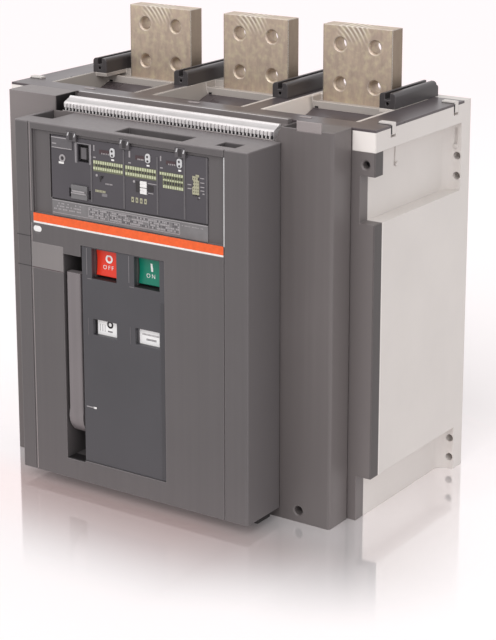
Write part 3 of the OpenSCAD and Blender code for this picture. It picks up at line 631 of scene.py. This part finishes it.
def small_mouldings(colours):
    """The plastics of the other pieces."""
    for name, rgb, settings in (
        ("tab", scaled(colours.cover, 2.3), dict(rough=0.45)),
        ("rail", scaled(colours.cover, 1.3), dict(rough=0.4)),
        ("plate", colours.plate, dict(rough=0.30, glow=1.9)),
        ("control", colours.control, dict(rough=0.46, glow=1.5)),
        ("card", (0.97, 0.965, 0.965), dict(rough=0.4, edge=0.0004, vary=0.02, glow=1.0)),
        ("trip", colours.trip, dict(rough=0.36, edge=0.0004)),
        ("bar", colours.bar, dict(rough=0.33, glow=2.6)),
        ("black", (0.012, 0.010, 0.011), dict(rough=0.55, glow=1.2)),
        ("lever", colours.lever, dict(rough=0.4, streak=0.6, vary=0.10)),
        ("plug", (0.17, 0.165, 0.17), dict(rough=0.4, edge=0.0005)),
        ("blank", (0.215, 0.198, 0.197), dict(rough=0.45, streak=0.4)),
        # a darker copy of the control plastic, for painted shade along the control plate's right edge
        ("band", scaled(colours.control, 0.8), dict(rough=0.4)),
        ("clip", (0.10, 0.092, 0.098), dict(rough=0.3, edge=0.0003)),
        ("label", (0.185, 0.178, 0.182), dict(rough=0.4, edge=0.0002, drift=0.012, vary=0.12)),
        ("off", colours.stop, dict(rough=0.3, edge=0.0005, vary=0.03, glow=1.1)),
        ("on", colours.go, dict(rough=0.3, edge=0.0005, vary=0.03, glow=1.2)),
        ("lens", (0.62, 0.62, 0.63), dict(rough=0.25, edge=0.0004, coat=0.5)),
    ):
        plastic(f"{name} plastic", rgb, **settings)


def prints(colours):
    """The thin prints and inlays, by their tone."""
    for name, rgb in (
        ("stripe", colours.accent),
        ("white", (0.84, 0.83, 0.82)),
        ("pale", (0.36, 0.34, 0.35)),
        ("grey", (0.20, 0.19, 0.20)),
        ("dim", (0.115, 0.108, 0.115)),
        ("dark", (0.030, 0.026, 0.028)),
        ("reddish", (0.060, 0.034, 0.038)),
        ("olive", (0.150, 0.158, 0.095)),
        ("row", colours.mark),
        ("beige", (0.40, 0.39, 0.27)),
    ):
        plastic(f"{name} print", rgb, rough=0.4, edge=0.0002, vary=0.08, drift=0.004, depth=0.00001, glow=1.05)


class FinishOperator(bpy.types.Operator):
    """Builds the shared shader groups and the materials, and puts them on the CAD nodes"""

    bl_idname = "breaker.finishes"
    bl_label = "Finishes"

    def execute(self, context):
        colours = context.scene.breaker_colours
        for build in (build_grain_group, build_flow_group, build_edge_group, build_brush_group):
            build()
        mouldings(colours)
        small_mouldings(colours)
        prints(colours)
        cut_copper("tinned copper", colours.copper)
        tones = [(0.0, 0.9), (0.50, 1.0), (0.66, 1.0), (0.72, 0.62), (0.86, 0.74), (0.92, 1.0)]
        bands = ("auxiliary_strip", tones)
        metal("bright strip", colours.strip, 0.33, (40.0, 700.0, 700.0), 0.3, 0.10, bands)
        metal("pin steel", (0.5, 0.5, 0.5), 0.3)
        for name, cad_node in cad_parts.items():
            found = (key for key, starts in NODES_OF.items() if name.startswith(tuple(starts.split())))
            finish = next(found)
            cad_node.data.materials.clear()
            cad_node.data.materials.append(bpy.data.materials[finish])
        return {"FINISHED"}


def plug_marks(corner):
    """A pale band across the rating plug, and the dark finger holds in the recess beside it."""
    low, wide, _ = face_of("rating_plug")
    plates("plug_band", low, [(0.6, wide - 0.6, 5.4, 6.6), (2.2, wide - 2.2, 7.4, 8.8)], 0.1, PALE)
    left, _, bottom = (low - corner) / MM
    holds = [(left - 3.9, left - 1.1, bottom + 1.1, bottom + 9.9),
             (left + wide + 1.1, left + wide + 3.9, bottom + 1.1, bottom + 9.9)]
    plates("plug_holds", shift(corner, y=3.5), holds, PRINT, DARK)


def clip_details():
    """Pale hooks on both sides of each clip's dark opening, and their feet."""
    for name in ("left", "middle", "right"):
        low, wide, tall = face_of(f"trip_clip_{name}")
        face = shift(low, y=0.45)  # hooks and feet end almost flush with the clip
        for side, spot in (("left", (2.2, tall - 2.8)), ("right", (wide - 1.6, tall - 3.6))):
            tiles(f"clip_{name}_hook_{side}", spots(face, [spot]), 1.4, 3.8, 0.5, "lens plastic", lean=0.35)
        feet = [(1.0, 2.6, 1.0, 2.8), (wide - 3.6, wide - 2.0, 0.6, 2.0)]
        plates(f"clip_{name}_feet", face, feet, PRINT, PALE)
        eye = [(wide / 2 - 2.4, wide / 2 + 2.4, 0.8, tall - 1.0)]
        plates(f"clip_eye_{name}", face, eye, 0.5, DARK)


class TripFaceOperator(bpy.types.Operator):
    """Makes the dividers, ledges, frames, lock, lights, plug and clip details of the trip unit"""

    bl_idname = "breaker.trip_face"
    bl_label = "Trip unit face"

    def execute(self, context):
        corner, _, tall = face_of("trip_unit")
        lights = (77.8, 121.0, 158.8)
        dividers = [(49.9, 51.9, 2, 45), (90.4, 92.4, 1, tall - 4), (131.1, 133.1, 1, 58),
                    (163.4, 165.4, 1, tall - 1), (189.6, 191.4, 0.2, tall - 0.2)]
        ledge_lines = [(1.0, 27.0, 62.0, 63.0), (1.3, 26.8, 51.8, 52.7), (2.0, 7.2, 55.6, 56.8)]
        socket_frame = [(31.0, 33.4, 39.5, 60.5), (48.6, 51.4, 39.5, 60.5), (33.4, 48.6, 59.4, 60.6)]
        uprights = [(53.9, 55.3, 54.3, 60.3), (97.6, 99.4, 53.4, 60.0), (135.5, 136.9, 54.6, 59.6)]
        layers(
            corner,
            ("trip_dividers", 0, 0.6, DIM, dividers),
            ("trip_ledge", 0, 0.8, DIM, [(0.8, 27.2, 51.5, 63.4)]),
            ("trip_ledge_lines", 0.8, 0.2, PALE, ledge_lines),
            ("socket_frame", 0, 1.0, GREY, socket_frame),
            ("socket_frame_edges", 1.0, 0.1, PALE, [(a, a + 0.7, 40.5, 60.0) for a in (31.2, 50.6)]),
        )
        plates("socket_core", span("test_socket")[0], [(3.6, 10.2, 3, 14.5)], PRINT, DIM)
        dashes = [(a, a + 3.2, 47.4, 48.6) for a in (53.4, 97.0, 135.4)]
        plates("channel_marks", corner, uprights, PRINT, PALE)
        plates("channel_dots", corner, dashes, PRINT, PALE)
        hoop("lock_ring", spots(corner, [(14.3, 42.0)]), 3.0, 1.8, 0.6, PALE)
        dots("lock_hole", spots(corner, [(15.2, 42.8)]), 1.9, PRINT, DARK, steps=32, core=0.2)
        plates("lock_tag", corner, [(9.6, 16.0, 36.2, 38.4)], 0.4, WHITE)
        lens = on_face(corner, span("status_lights")[0][1])
        pairs = [(a, 52.6) for a in lights] + [(a - 0.3, 56.8) for a in lights]
        dots("light_dots", spots(lens, pairs), 1.15, PRINT, DARK)
        plates("light_ticks", corner, [(a - 1.7, a + 1.7, 47.2, 48.8) for a in lights], PRINT, WHITE)
        plug_marks(corner)
        clip_details()
        return {"FINISHED"}


def field_marks(corner):
    """Dots, a knob and words of the lower fields, as short bars."""
    dots("field_dots", spots(corner, [(57.6, 30.2), (103.8, 30.2)]), 1.3, 0.4, PALE)
    knob = [(1.7, -SUNK), (1.7, 1.2), (0.1, 1.4)]
    turned("field_knob", knob, spots(corner, [(63.0, 28.4)]), DARK, steps=20)
    layers(
        corner,
        ("knob_pointer", 0, 0.4, DARK, [(61.4, 62.8, 24.0, 27.2), (63.4, 66.2, 29.4, 30.4)]),
        ("field_words", 0, PRINT, PALE, series(69.0, 76.2, 5, 1.2, 22.2, 23.6)),
        ("rating_word", 0, PRINT, BEIGE, series(56.2, 67.4, 7, 1.3, 13.2, 15.6)),
        ("rating_patch", 0, PRINT, GREY, [(63.6, 70.4, 9.6, 12.6)]),
        ("number_marks", 0, PRINT, BEIGE, series(101.8, 117.4, 4, 3.0, 9.2, 14.4)),
        ("number_holes", PRINT, 0.2, DARK, series(101.8, 117.4, 4, 1.0, 10.8, 12.6)),
    )


def switch_marks(corner):
    """The body of the small switches, the backs of the keys, and the lines that lead to their words."""
    low, high = span("setting_keys")
    left, _, bottom = (low - corner) / MM
    right, _, top = (high - corner) / MM
    backs = [(left, right, bottom - 0.4, bottom + 4.6), (left, right, top - 4.8, top + 0.4)]
    lines = [(right + 0.6, right + 12.6, top - 1.4, top - 0.6),
             (right + 0.6, right + 7.6, bottom + 1.0, bottom + 1.8)]
    layers(
        corner,
        ("switch_body", 0, 0.8, DARK, [(left - 5.4, left - 0.2, bottom + 0.8, top - 0.6)]),
        ("switch_backs", 0, 0.8, WHITE, backs),
        ("switch_lines", 0, PRINT, PALE, lines),
        ("switch_field", 0, PRINT, DARK, [(right + 1.2, right + 7.6, bottom + 3.0, top - 2.6)]),
    )


def cluster_marks(corner):
    """A stepped column of pale marks with dashes on both sides, at the right of the face."""
    column = [(173.4, 181.4, 27.0, 34.2), (174.6, 181.4, 34.2, 41.0), (173.6, 180.0, 41.0, 45.0),
              (177.4, 181.4, 44.4, 46.6)]
    gaps = joined(*(series(175.2, 180.2, 3, 0.7, b, b + 1.1) for b in (29.2, 32.0, 35.4, 38.6, 42.0)))
    dashes = [(182.8, 187.4, b - 0.4, b + 0.5) for b in (43.7, 39.4, 35.2, 31.6)]
    dashes += [(167.9, 172.4, b - 0.4, b + 0.5) for b in (35.9, 32.1)]
    dashes += [(185.4, 187.6, 28.2, 29.4), (180.6, 182.4, 23.8, 25.0)]
    layers(
        corner,
        ("cluster_column", 0, 0.4, BEIGE, column),
        ("cluster_gaps", 0.4, 0.2, DARK, gaps),
        ("cluster_dashes", 0, PRINT, PALE, dashes),
    )
    places = spots(corner, [(174.9, 26.2), (177.4, 26.2), (179.9, 26.0), (180.2, 23.2)])
    dots("cluster_dots", places, 0.9, 0.4, DARK, steps=12)


class TripPrintOperator(bpy.types.Operator):
    """Makes the setting rows, the displays, the switch block and the small marks of the trip unit"""

    bl_idname = "breaker.trip_print"
    bl_label = "Trip unit settings"

    def execute(self, context):
        corner = span("trip_unit")[0]
        grounds = [(53.4, 90.2, 34.2, 45.4), (93.0, 130.9, 34.2, 45.2), (134.6, 163.0, 41.0, 44.4),
                   (138.4, 163.2, 28.4, 41.0)]
        pale = joined(
            series(54.8, 89.0, 13, 1.9, 41.9, 45.0), series(54.8, 89.0, 13, 2.0, 35.9, 38.6),
            series(94.6, 129.4, 13, 1.9, 41.7, 44.8), series(94.6, 129.4, 13, 2.0, 35.6, 38.4),
            series(136.2, 161.6, 10, 1.9, 41.4, 44.0), series(140.0, 161.8, 9, 1.7, 36.0, 37.6),
            series(140.0, 161.8, 9, 1.9, 28.8, 31.6),
        )
        dark = joined(
            series(57.4, 88.0, 10, 1.9, 39.4, 41.4), series(97.4, 128.4, 10, 1.9, 39.2, 41.2),
            series(141.4, 160.8, 7, 1.9, 38.6, 40.6), series(141.4, 160.8, 7, 1.9, 32.6, 35.2),
        )
        slits = [(61.1, 73.4, 52.4, 56.6), (105.6, 115.9, 52.4, 56.6), (142.5, 153.9, 52.2, 56.0)]
        ticks = joined(*(series(a + 3.6, b - 0.8, 4, 1.3, c - 0.2, c + 1.3) for a, b, c, _ in slits))
        layers(
            corner,
            ("setting_grounds", 0, PRINT, "olive print", grounds),
            ("setting_rows", PRINT, PRINT, "row print", pale),
            ("setting_keys_dark", PRINT, PRINT, DARK, dark),
            ("displays", 0, PRINT, "reddish print", slits),
            ("display_ticks", PRINT, 0.2, PALE, ticks),
        )
        field_marks(corner)
        switch_marks(corner)
        cluster_marks(corner)
        return {"FINISHED"}


class LabelOperator(bpy.types.Operator):
    """Makes the ruled table of plain marks on the label strip"""

    bl_idname = "breaker.label"
    bl_label = "Label strip"

    def execute(self, context):
        corner, wide, tall = face_of("label_strip")
        draw = np.random.default_rng(7)
        columns = (46.0, 58.5, 71.0, 83.0, 95.5, 108.0, 120.5, 133.0, 145.5, 158.0)
        rules = [(0.4, wide - 0.4, tall - 1.0, tall - 0.2), (0.6, 158.0, 2.6, 3.3), (46.0, 158.0, 13.6, 14.2)]
        rules += [(a, a + 0.6, 3.0, 14.0) for a in columns]
        light, dark = [], []
        for bottom in (4.2, 6.6, 9.0, 11.4):
            row = series(47.8, 156.8, 54, 1.7, bottom, bottom + 1.7)
            pick = draw.random(len(row))
            light.append(row[pick > 0.42])
            dark.append(row[pick < 0.22])
        for bottom in (6.4, 9.4, 12.4):
            row = series(3.0, 36.0, 18, 1.5, bottom, bottom + 1.4)
            light.append(row[draw.random(len(row)) > 0.35])
        row = series(161.5, 187.0, 16, 1.1, 12.0, 13.0)
        light.append(row[draw.random(len(row)) > 0.3])
        layers(
            corner,
            ("label_rules", 0, 0.2, PALE, rules),
            ("label_marks", 0, 0.2, PALE, joined(*light)),
            ("label_dark_marks", 0, 0.2, DIM, joined(*dark)),
        )
        return {"FINISHED"}


def window_signs():
    """A dark ring, a dark bar and pale bars in the left window, and two rows of marks in the right one."""
    low, wide, tall = face_of("contact_window")
    hoop("contact_ring", spots(low, [(wide - 12.6, tall - 4.9)]), 2.9, 1.9, PRINT, BLACK)
    layers(
        low,
        ("contact_bar", 0, PRINT, GREY, [(wide - 15.6, wide - 9.8, tall - 12.9, tall - 11.5)]),
        ("contact_bars", 0, 0.2, "lens plastic", series(4.85, 10.85, 3, 1.3, tall - 13.2, tall - 5.8)),
    )
    low, _, tall = face_of("spring_window")
    layers(
        low,
        ("spring_marks", 0, 0.2, PALE, series(5.4, 24.8, 13, 1.0, tall - 7.6, tall - 5.8)),
        ("spring_bars", 0, 0.2, GREY, series(10.4, 21.4, 8, 1.1, tall - 12.6, tall - 10.6)),
    )


class SymbolOperator(bpy.types.Operator):
    """Makes the symbols and words on the two buttons and the signs in the two windows"""

    bl_idname = "breaker.symbols"
    bl_label = "Symbols"

    def execute(self, context):
        size = context.scene.breaker_sizes.symbol_size / MM
        spacing, capitals = 1.45, 4.4 * MM
        symbol_depth, word_depth = 1.38, 1.22  # behind the button's foremost edge
        for name in ("off", "on"):
            low, wide, tall = face_of(f"{name}_button")
            body = f"{name}_push"
            upper = shift(low, wide / 2 + 0.4, symbol_depth, tall / 2 + 4.0)
            if name == "off":
                hoop("off_symbol", [upper], size * 0.38, size * 0.22, 0.4, WHITE, body=body)
            else:
                tiles("on_symbol", [upper], 2.3, size * 0.95, 0.4, WHITE, lean=-0.12, body=body)
            place = shift(low, wide / 2 - 0.8, word_depth, tall / 2 - 5.2)
            letters(f"{name}_word", name.upper(), place, capitals, WHITE, body, spacing)
        window_signs()
        return {"FINISHED"}


def strip_gaps():
    """Painted shade in the grooves between the teeth of the auxiliary strip, its grey foot, painted shade on the
    wall at its left end, the pale edge of the rail behind it, and painted shade at the backs of the two lug holes."""
    low, wide, tall = face_of("auxiliary_strip")
    groove_depth, wall_gap = 2.55, 9
    # painted shade: a black sheet deep in the lower grooves and a grey one in the upper grooves
    layers(
        low,
        ("strip_groove_shade_low", -groove_depth, 0.4, BLACK, [(0.3, wide - 0.3, 1.3, 4.6)]),
        ("strip_groove_shade_high", -groove_depth, 0.4, GREY, [(0.3, wide - 0.3, 4.7, 8.2)]),
        ("strip_foot", 0, 0.2, "tab plastic", [(0.2, wide - 0.2, 0.1, 1.1)]),
    )
    plates("strip_foot_top", shift(low, z=1.19), [(0.2, wide - 0.2, 0.1, 2.2)], 0.2, BLACK, facing="+z")
    # painted shade: a black sheet on the wall at the strip's left end
    depth = (span("front_cover")[1][1] - low[1]) / MM
    wall = [(1.2, depth - 3.2, -28.0, tall + 0.4)]
    plates("strip_end_shade", shift(low, x=-wall_gap), wall, PRINT, BLACK, facing="+x")
    rail_low, rail_high = span("auxiliary_rail")
    step = np.array([rail_low[0], rail_low[1] + 10 * MM, rail_high[2]])
    plates("rail_edge", step, [(0.3, wide - 0.3, 0.2, 1.8)], 0.2, "lens plastic", facing="+z")
    # painted shade: black discs at the backs of the lug holes
    inset, depth, height = 10.5, 44, 362.75
    side = span("frame")[1][0] / MM
    holes = [shift((0, low[1], 0), turn * (side - inset), depth, height) for turn in (-1, 1)]
    dots("lug_shade", holes, 3.6, 0.4, BLACK, steps=32, core=0.2)


def wells():
    """Painted shade: dark floors of the button wells and of the lever's slot, the slot's roof, and dark left walls
    of the windows;
    and painted highlights along the edges of the wells and windows.
    """
    front = span("control_plate")[0][1]
    well_depth, sill = 10.2, 2.5
    for name in ("off", "on"):
        low, wide, tall = face_of(f"{name}_button")
        low = on_face(low, front)
        # painted shade: a black floor in each button well
        floor = [(-0.5, wide + 0.5, 0.2 - well_depth, 0.0)]
        plates(f"{name}_well_floor", shift(low, y=well_depth, z=-sill), floor, PRINT, BLACK, facing="+z")
        # painted highlights: pale lines along the left and lower edges of each well
        lines = [(-7.2, -6.5, 0.5, tall), (-6.5, -1.0, -3.6, -3.0)]
        plates(f"{name}_well_edge_highlights", low, lines, 0.2, GREY)
    low, wide, tall = face_of("lever_surround")
    deep = (low[1] - front) / MM
    low = on_face(low, front)
    # painted shade: a black floor and roof in the lever's slot
    floor, roof = [(0.2, wide - 0.2, 0.5, deep)], [(0.2, wide - 0.2, -deep, 0.0)]
    plates("slot_floor", shift(low, z=0.3), floor, PRINT, BLACK, facing="+z")
    plates("slot_roof", shift(low, y=1, z=tall - 0.3), roof, PRINT, BLACK, facing="-z")
    for name, material in (("contact", BLACK), ("spring", GREY)):
        low, _, tall = face_of(f"{name}_window")
        # painted shade on each window's left wall, and a painted highlight along the opening's left edge
        plates(f"{name}_window_wall", low, [(0.0, 1.6, 0.2, tall - 0.2)], 0.6, material)
        plates(f"{name}_window_edge_highlight", on_face(low, front), [(-6.4, -5.6, -1.0, tall)], 0.2, DIM)


def panel_lines():
    """Joint lines of the left column, a painted highlight along the upright seam beside them, the seal's print, a
    painted highlight at the right of the bezel, and a band of painted shade and the travel mark on the control
    plate."""
    low, _, tall = face_of("front_panel")
    blank, blank_wide, blank_tall = face_of("blank_plate")
    left, _, bottom = (blank - low) / MM
    top = bottom + blank_tall
    joints = [(0.2, left - 1.0, bottom + 0.4, bottom + 1.2), (0.2, left - 1.0, top + 5.0, top + 5.9)]
    seam = [(0.3, 1.1, 1.0, bottom), (0.3, 1.1, top, top + 20), (0.3, 1.1, top + 32, tall - 1)]
    plates("column_joints", low, joints, 0.1, DARK)
    plates("blank_plate_edge", blank, [(0.4, blank_wide - 0.4, 0.2, 0.9)], 0.1, "reddish print")
    # painted highlight: a pale line along the upright seam at the column's right edge
    plates("panel_seam_highlight", shift(low, x=left), seam, 0.1, "tab plastic")
    seal, seal_wide, seal_tall = face_of("seal_cap")
    middle = shift(seal, seal_wide / 2, 0.35, seal_tall / 2)
    tiles("seal_disc", [middle], 10.6, 6.2, 0.4, WHITE, radius=3.05)
    # painted highlight: a pale line along the right edge of the bezel
    stripe_end = span("accent_stripe")[1]
    over_trip, over_window = 3.5, 48
    rim = (span("trip_unit")[1][2] - stripe_end[2]) / MM + over_trip
    plates("bezel_edge_highlight", on_face(stripe_end, low[1]), [(0.3, 1.3, 0.0, rim)], 0.1, "lens plastic")
    # painted shade: a darker band along the control plate's right edge
    plate, wide, _ = face_of("control_plate")
    band = (span("spring_window")[0][2] - plate[2]) / MM + over_window
    layers(
        plate,
        ("control_plate_shade_band", 0, 0.2, "band plastic", [(wide - 5.4, wide - 0.3, 0.3, band)]),
        ("travel_mark", 0, PRINT, PALE, [(2.6, 12.6, 59.0, 60.0)]),
        ("travel_mark_end", 0, PRINT, WHITE, [(11.4, 15.4, 58.6, 60.4)]),
    )


def clip_gaps():
    """Painted shade round the hooks that hold the top plate: a black upright line in each gap, and a short one on
    the roof.
    """
    roof = span("top_plate")[1][2]
    for side, facing, turn in (("left", "-x", -1), ("right", "+x", 1)):
        for end in ("front", "rear"):
            low, high = (corner / MM for corner in span(f"casing_clip_{side}_{end}"))
            outer = high[0] if side == "right" else low[0]
            # painted shade: a black upright line in the gap beside each hook, and a short black line on the roof
            # in front of it
            line = [(*sorted((turn * low[1], turn * (low[1] - 2.4))), low[2] + 0.6, high[2] - 2.4)]
            face = shift((0, 0, 0), x=outer - 0.25 * turn)
            plates(f"clip_gap_{side}_{end}", face, line, PRINT, BLACK, facing=facing)
            reach = [(low[0], high[0] - 1.0, low[1] - 1.3, low[1] - 0.1)]
            plates(f"clip_shade_{side}_{end}", (0, 0, roof), reach, 0.2, BLACK, facing="+z")


class PaintedShadeOperator(bpy.types.Operator):
    """Makes painted shade as dark sheets and lines in slits, wells and gaps, painted highlights along some edges,
    and the fine joint lines of the front
    """

    bl_idname = "breaker.gaskets"
    bl_label = "Painted shade and joint lines"

    def execute(self, context):
        trip, wide, tall = face_of("trip_unit")
        # painted shade: a black sheet in the slit at the trip unit's left, and a black line in the gap at its foot
        plates("trip_slit_shade", shift(trip, y=5), [(-2.35, -0.05, 0.0, tall)], 0.4, BLACK)
        foot = on_face(trip, span("label_strip")[1][1])
        plates("trip_foot_shade", foot, [(0.0, wide, -1.4, -0.1)], 0.4, BLACK)
        wells()
        strip_gaps()
        panel_lines()
        clip_gaps()
        return {"FINISHED"}


class RoofOperator(bpy.types.Operator):
    """Makes the pale tabs on the top plate, a black patch of painted shade for a dark recess in each funnel, and
    the screws of the guide bars
    """

    bl_idname = "breaker.roof"
    bl_label = "Top details"

    def execute(self, context):
        roof = span("top_plate")[1][2]
        tab_spot, recess_shade_spot = (3, -33.5), (-49, 66.2, -12.6)
        for name in ("left", "middle", "right"):
            low, high = span(f"terminal_surround_{name}")
            middle = ((low[0] + high[0]) / 2, 0.0, roof)
            tab = [shift(middle, *tab_spot)]
            tiles(f"plate_tab_{name}", tab, 13, 4.6, 0.6, "tab plastic", radius=1.0, facing="+z")
            # painted shade: a black patch for a dark recess in each funnel
            plates(f"recess_shade_{name}", shift(middle, *recess_shade_spot), [(0.0, 3.8, 0.0, 1.8)], PRINT, BLACK)
        inset, drop = 8, 7
        r = context.scene.breaker_sizes.screw_diameter / 2 / MM
        head = [(r, -SUNK), (r, 1.2), (0.8 * r, 1.8), (0.35 * r, 1.8), (0.3 * r, 0.6), (0.02 * r, 0.6)]
        for number in (1, 2, 3, 4):
            low, high = span(f"guide_bar_{number}")
            place = shift(((low[0] + high[0]) / 2, high[1], high[2]), y=-inset, z=-drop)
            turned(f"bar_screw_{number}", head, [place], "pin steel", facing="+z")
        return {"FINISHED"}


def floor_material():
    """White floor with a mirror image of what stands on it. The mirror and a warm tint of painted reflection and
    shade fade with the distance from the object's foot, and for camera rays a little light of its own makes the
    floor as white as the backdrop."""
    material = bpy.data.materials.new("studio floor")
    material.use_nodes = True
    tree = material.node_tree
    tree.nodes.clear()
    fade_length, mirror_share, own_light = 0.19, 0.66, 0.26
    away = beyond_foot(tree)
    fade = ranged(tree, away, 0.0, fade_length, 1.0, 0.0, "SMOOTHSTEP")
    before = ramps(tree, (0, 0.26, 0.08), (1, -0.10, -0.15))  # before the object, as far as its right side
    # painted reflection and shade: a warm tint near the foot, before the object
    warm = times(tree, fade, fade, before)
    share = times(tree, fade, mirror_share)
    ground = mix(tree, warm, (0.87, 0.845, 0.85), (0.90, 0.73, 0.71))
    diffuse = node(tree, "BsdfDiffuse", {"Color": ground})
    mirror = node(tree, "BsdfGlossy", {"Color": (1.0, 0.97, 0.975), "Roughness": 0.06})
    surface = node(tree, "MixShader", {0: share, 1: diffuse.outputs[0], 2: mirror.outputs[0]})
    pale = mix(tree, ranged(tree, away, 0.5, 2.0), (1.0, 0.94, 0.96), (1.0, 0.67, 0.71))
    seen = node(tree, "LightPath").outputs["Is Camera Ray"]
    strength = times(tree, seen, calc(tree, "SUBTRACT", 1.0, share), own_light)
    # the floor's own light takes the same painted warm tint
    shade = mix(tree, warm, pale, (1.0, 0.70, 0.68))
    glow = node(tree, "Emission", {"Color": shade, "Strength": strength})
    total = node(tree, "AddShader", {0: surface.outputs[0], 1: glow.outputs[0]})
    node(tree, "OutputMaterial", {"Surface": total.outputs[0]})
    return material


def beyond_foot(tree):
    """The distance from the object's box, whose front edge recedes to the right as the frame's flange does."""
    flange_start, flange_end, flange_depth = 0.142, 0.225, 0.0375
    low, high = (np.array(corner) for corner in CAD_BOX)
    middle, half = (low + high) / 2, (high - low) / 2
    place = axes(tree)
    beyond = []
    for axis in (0, 1):
        away = calc(tree, "ABSOLUTE", calc(tree, "SUBTRACT", place[axis], float(middle[axis])))
        edge = float(half[axis])
        if axis == 1:
            recess = times(tree, ramps(tree, (0, flange_start, flange_end)), flange_depth)
            edge = calc(tree, "SUBTRACT", edge, recess)
        beyond.append(calc(tree, "MAXIMUM", calc(tree, "SUBTRACT", away, edge), 0.0))
    return far_off(tree, *beyond)


def add_lights(scene):
    """A soft key from the front above, and a weaker one from the right."""
    for name, strength, angle, direction in (
        ("key", 1.35, 50, (0.02, -0.72, 0.66)),
        ("side", 0.55, 70, (0.92, -0.30, 0.12)),
    ):
        lamp = bpy.data.lights.new(name, "SUN")
        lamp.energy = strength
        lamp.angle = math.radians(angle)
        lamp.color = (1.0, 0.985, 0.98)
        holder = bpy.data.objects.new(name, lamp)
        holder.rotation_euler = Vector(direction).to_track_quat("Z", "Y").to_euler()
        scene.collection.objects.link(holder)


def add_world(scene):
    """White to the camera and in reflections, and a plain soft light on everything else."""
    world = bpy.data.worlds.new("studio")
    scene.world = world
    world.use_nodes = True
    tree = world.node_tree
    tree.nodes.clear()
    path = node(tree, "LightPath").outputs
    direct = calc(tree, "MAXIMUM", path["Is Camera Ray"], path["Is Glossy Ray"])
    direct = calc(tree, "MAXIMUM", direct, path["Is Transmission Ray"])
    soft = node(tree, "Background", {"Color": (1.0, 0.99, 0.985), "Strength": 0.62})
    white = node(tree, "Background", {"Color": (1.0, 0.970, 0.977), "Strength": 1.0})
    both = node(tree, "MixShader", {0: direct, 1: soft.outputs[0], 2: white.outputs[0]})
    node(tree, "OutputWorld", {"Surface": both.outputs[0]})


def add_camera(scene):
    """A long lens at the front right, a little above, shifted to keep the uprights nearly parallel."""
    data = bpy.data.cameras.new("camera")
    data.sensor_width = 36.0
    data.lens = 106.221375
    data.shift_y = -0.21875
    data.clip_start, data.clip_end = 0.05, 100.0
    camera = bpy.data.objects.new("camera", data)
    camera.location = (1.09757, -1.55466, 0.76592)
    camera.rotation_euler = Euler((math.radians(76.521), 0.0, math.radians(34.063)))
    scene.collection.objects.link(camera)
    scene.camera = camera


class StageOperator(bpy.types.Operator):
    """Makes the floor, the lights, the world and the camera"""

    bl_idname = "breaker.stage"
    bl_label = "Stage"

    def execute(self, context):
        scene = context.scene
        reach = 30.0
        mesh = bpy.data.meshes.new("floor")
        corners = [(-reach, -reach, 0), (reach, -reach, 0), (reach, reach, 0), (-reach, reach, 0)]
        mesh.from_pydata(corners, [], [(0, 1, 2, 3)])
        floor = bpy.data.objects.new("floor", mesh)
        scene.collection.objects.link(floor)
        mesh.materials.append(floor_material())
        add_lights(scene)
        add_world(scene)
        add_camera(scene)
        scene.view_settings.view_transform = "Standard"
        return {"FINISHED"}


class BreakerPanel(bpy.types.Panel):
    """Sidebar panel with the sizes, the colours and the steps"""

    bl_idname = "VIEW3D_PT_breaker"
    bl_label = "Circuit breaker"
    bl_space_type = "VIEW_3D"
    bl_region_type = "UI"
    bl_category = "Breaker"

    def draw(self, context):
        for group in (context.scene.breaker_sizes, context.scene.breaker_colours):
            box = self.layout.box()
            for name in group.bl_rna.properties.keys():
                if name not in {"rna_type", "name"}:
                    box.prop(group, name)
        for step in STEPS:
            self.layout.operator(step.bl_idname)


STEPS = (
    FinishOperator,
    TripFaceOperator,
    TripPrintOperator,
    LabelOperator,
    SymbolOperator,
    PaintedShadeOperator,
    RoofOperator,
    StageOperator,
)
CLASSES = (BreakerSizes, BreakerColours, *STEPS, BreakerPanel)


def register():
    """Registers the classes and puts the two groups of properties on the scene."""
    for cls in CLASSES:
        bpy.utils.register_class(cls)
    bpy.types.Scene.breaker_sizes = bpy.props.PointerProperty(type=BreakerSizes)
    bpy.types.Scene.breaker_colours = bpy.props.PointerProperty(type=BreakerColours)


def unregister():
    """Takes the properties and the classes away again."""
    del bpy.types.Scene.breaker_colours
    del bpy.types.Scene.breaker_sizes
    for cls in reversed(CLASSES):
        bpy.utils.unregister_class(cls)


def main():
    """Builds everything in order."""
    register()
    for step in STEPS:
        area, name = step.bl_idname.split(".")
        getattr(getattr(bpy.ops, area), name)()
    bpy.context.view_layer.update()


if __name__ == "__main__":
    main()
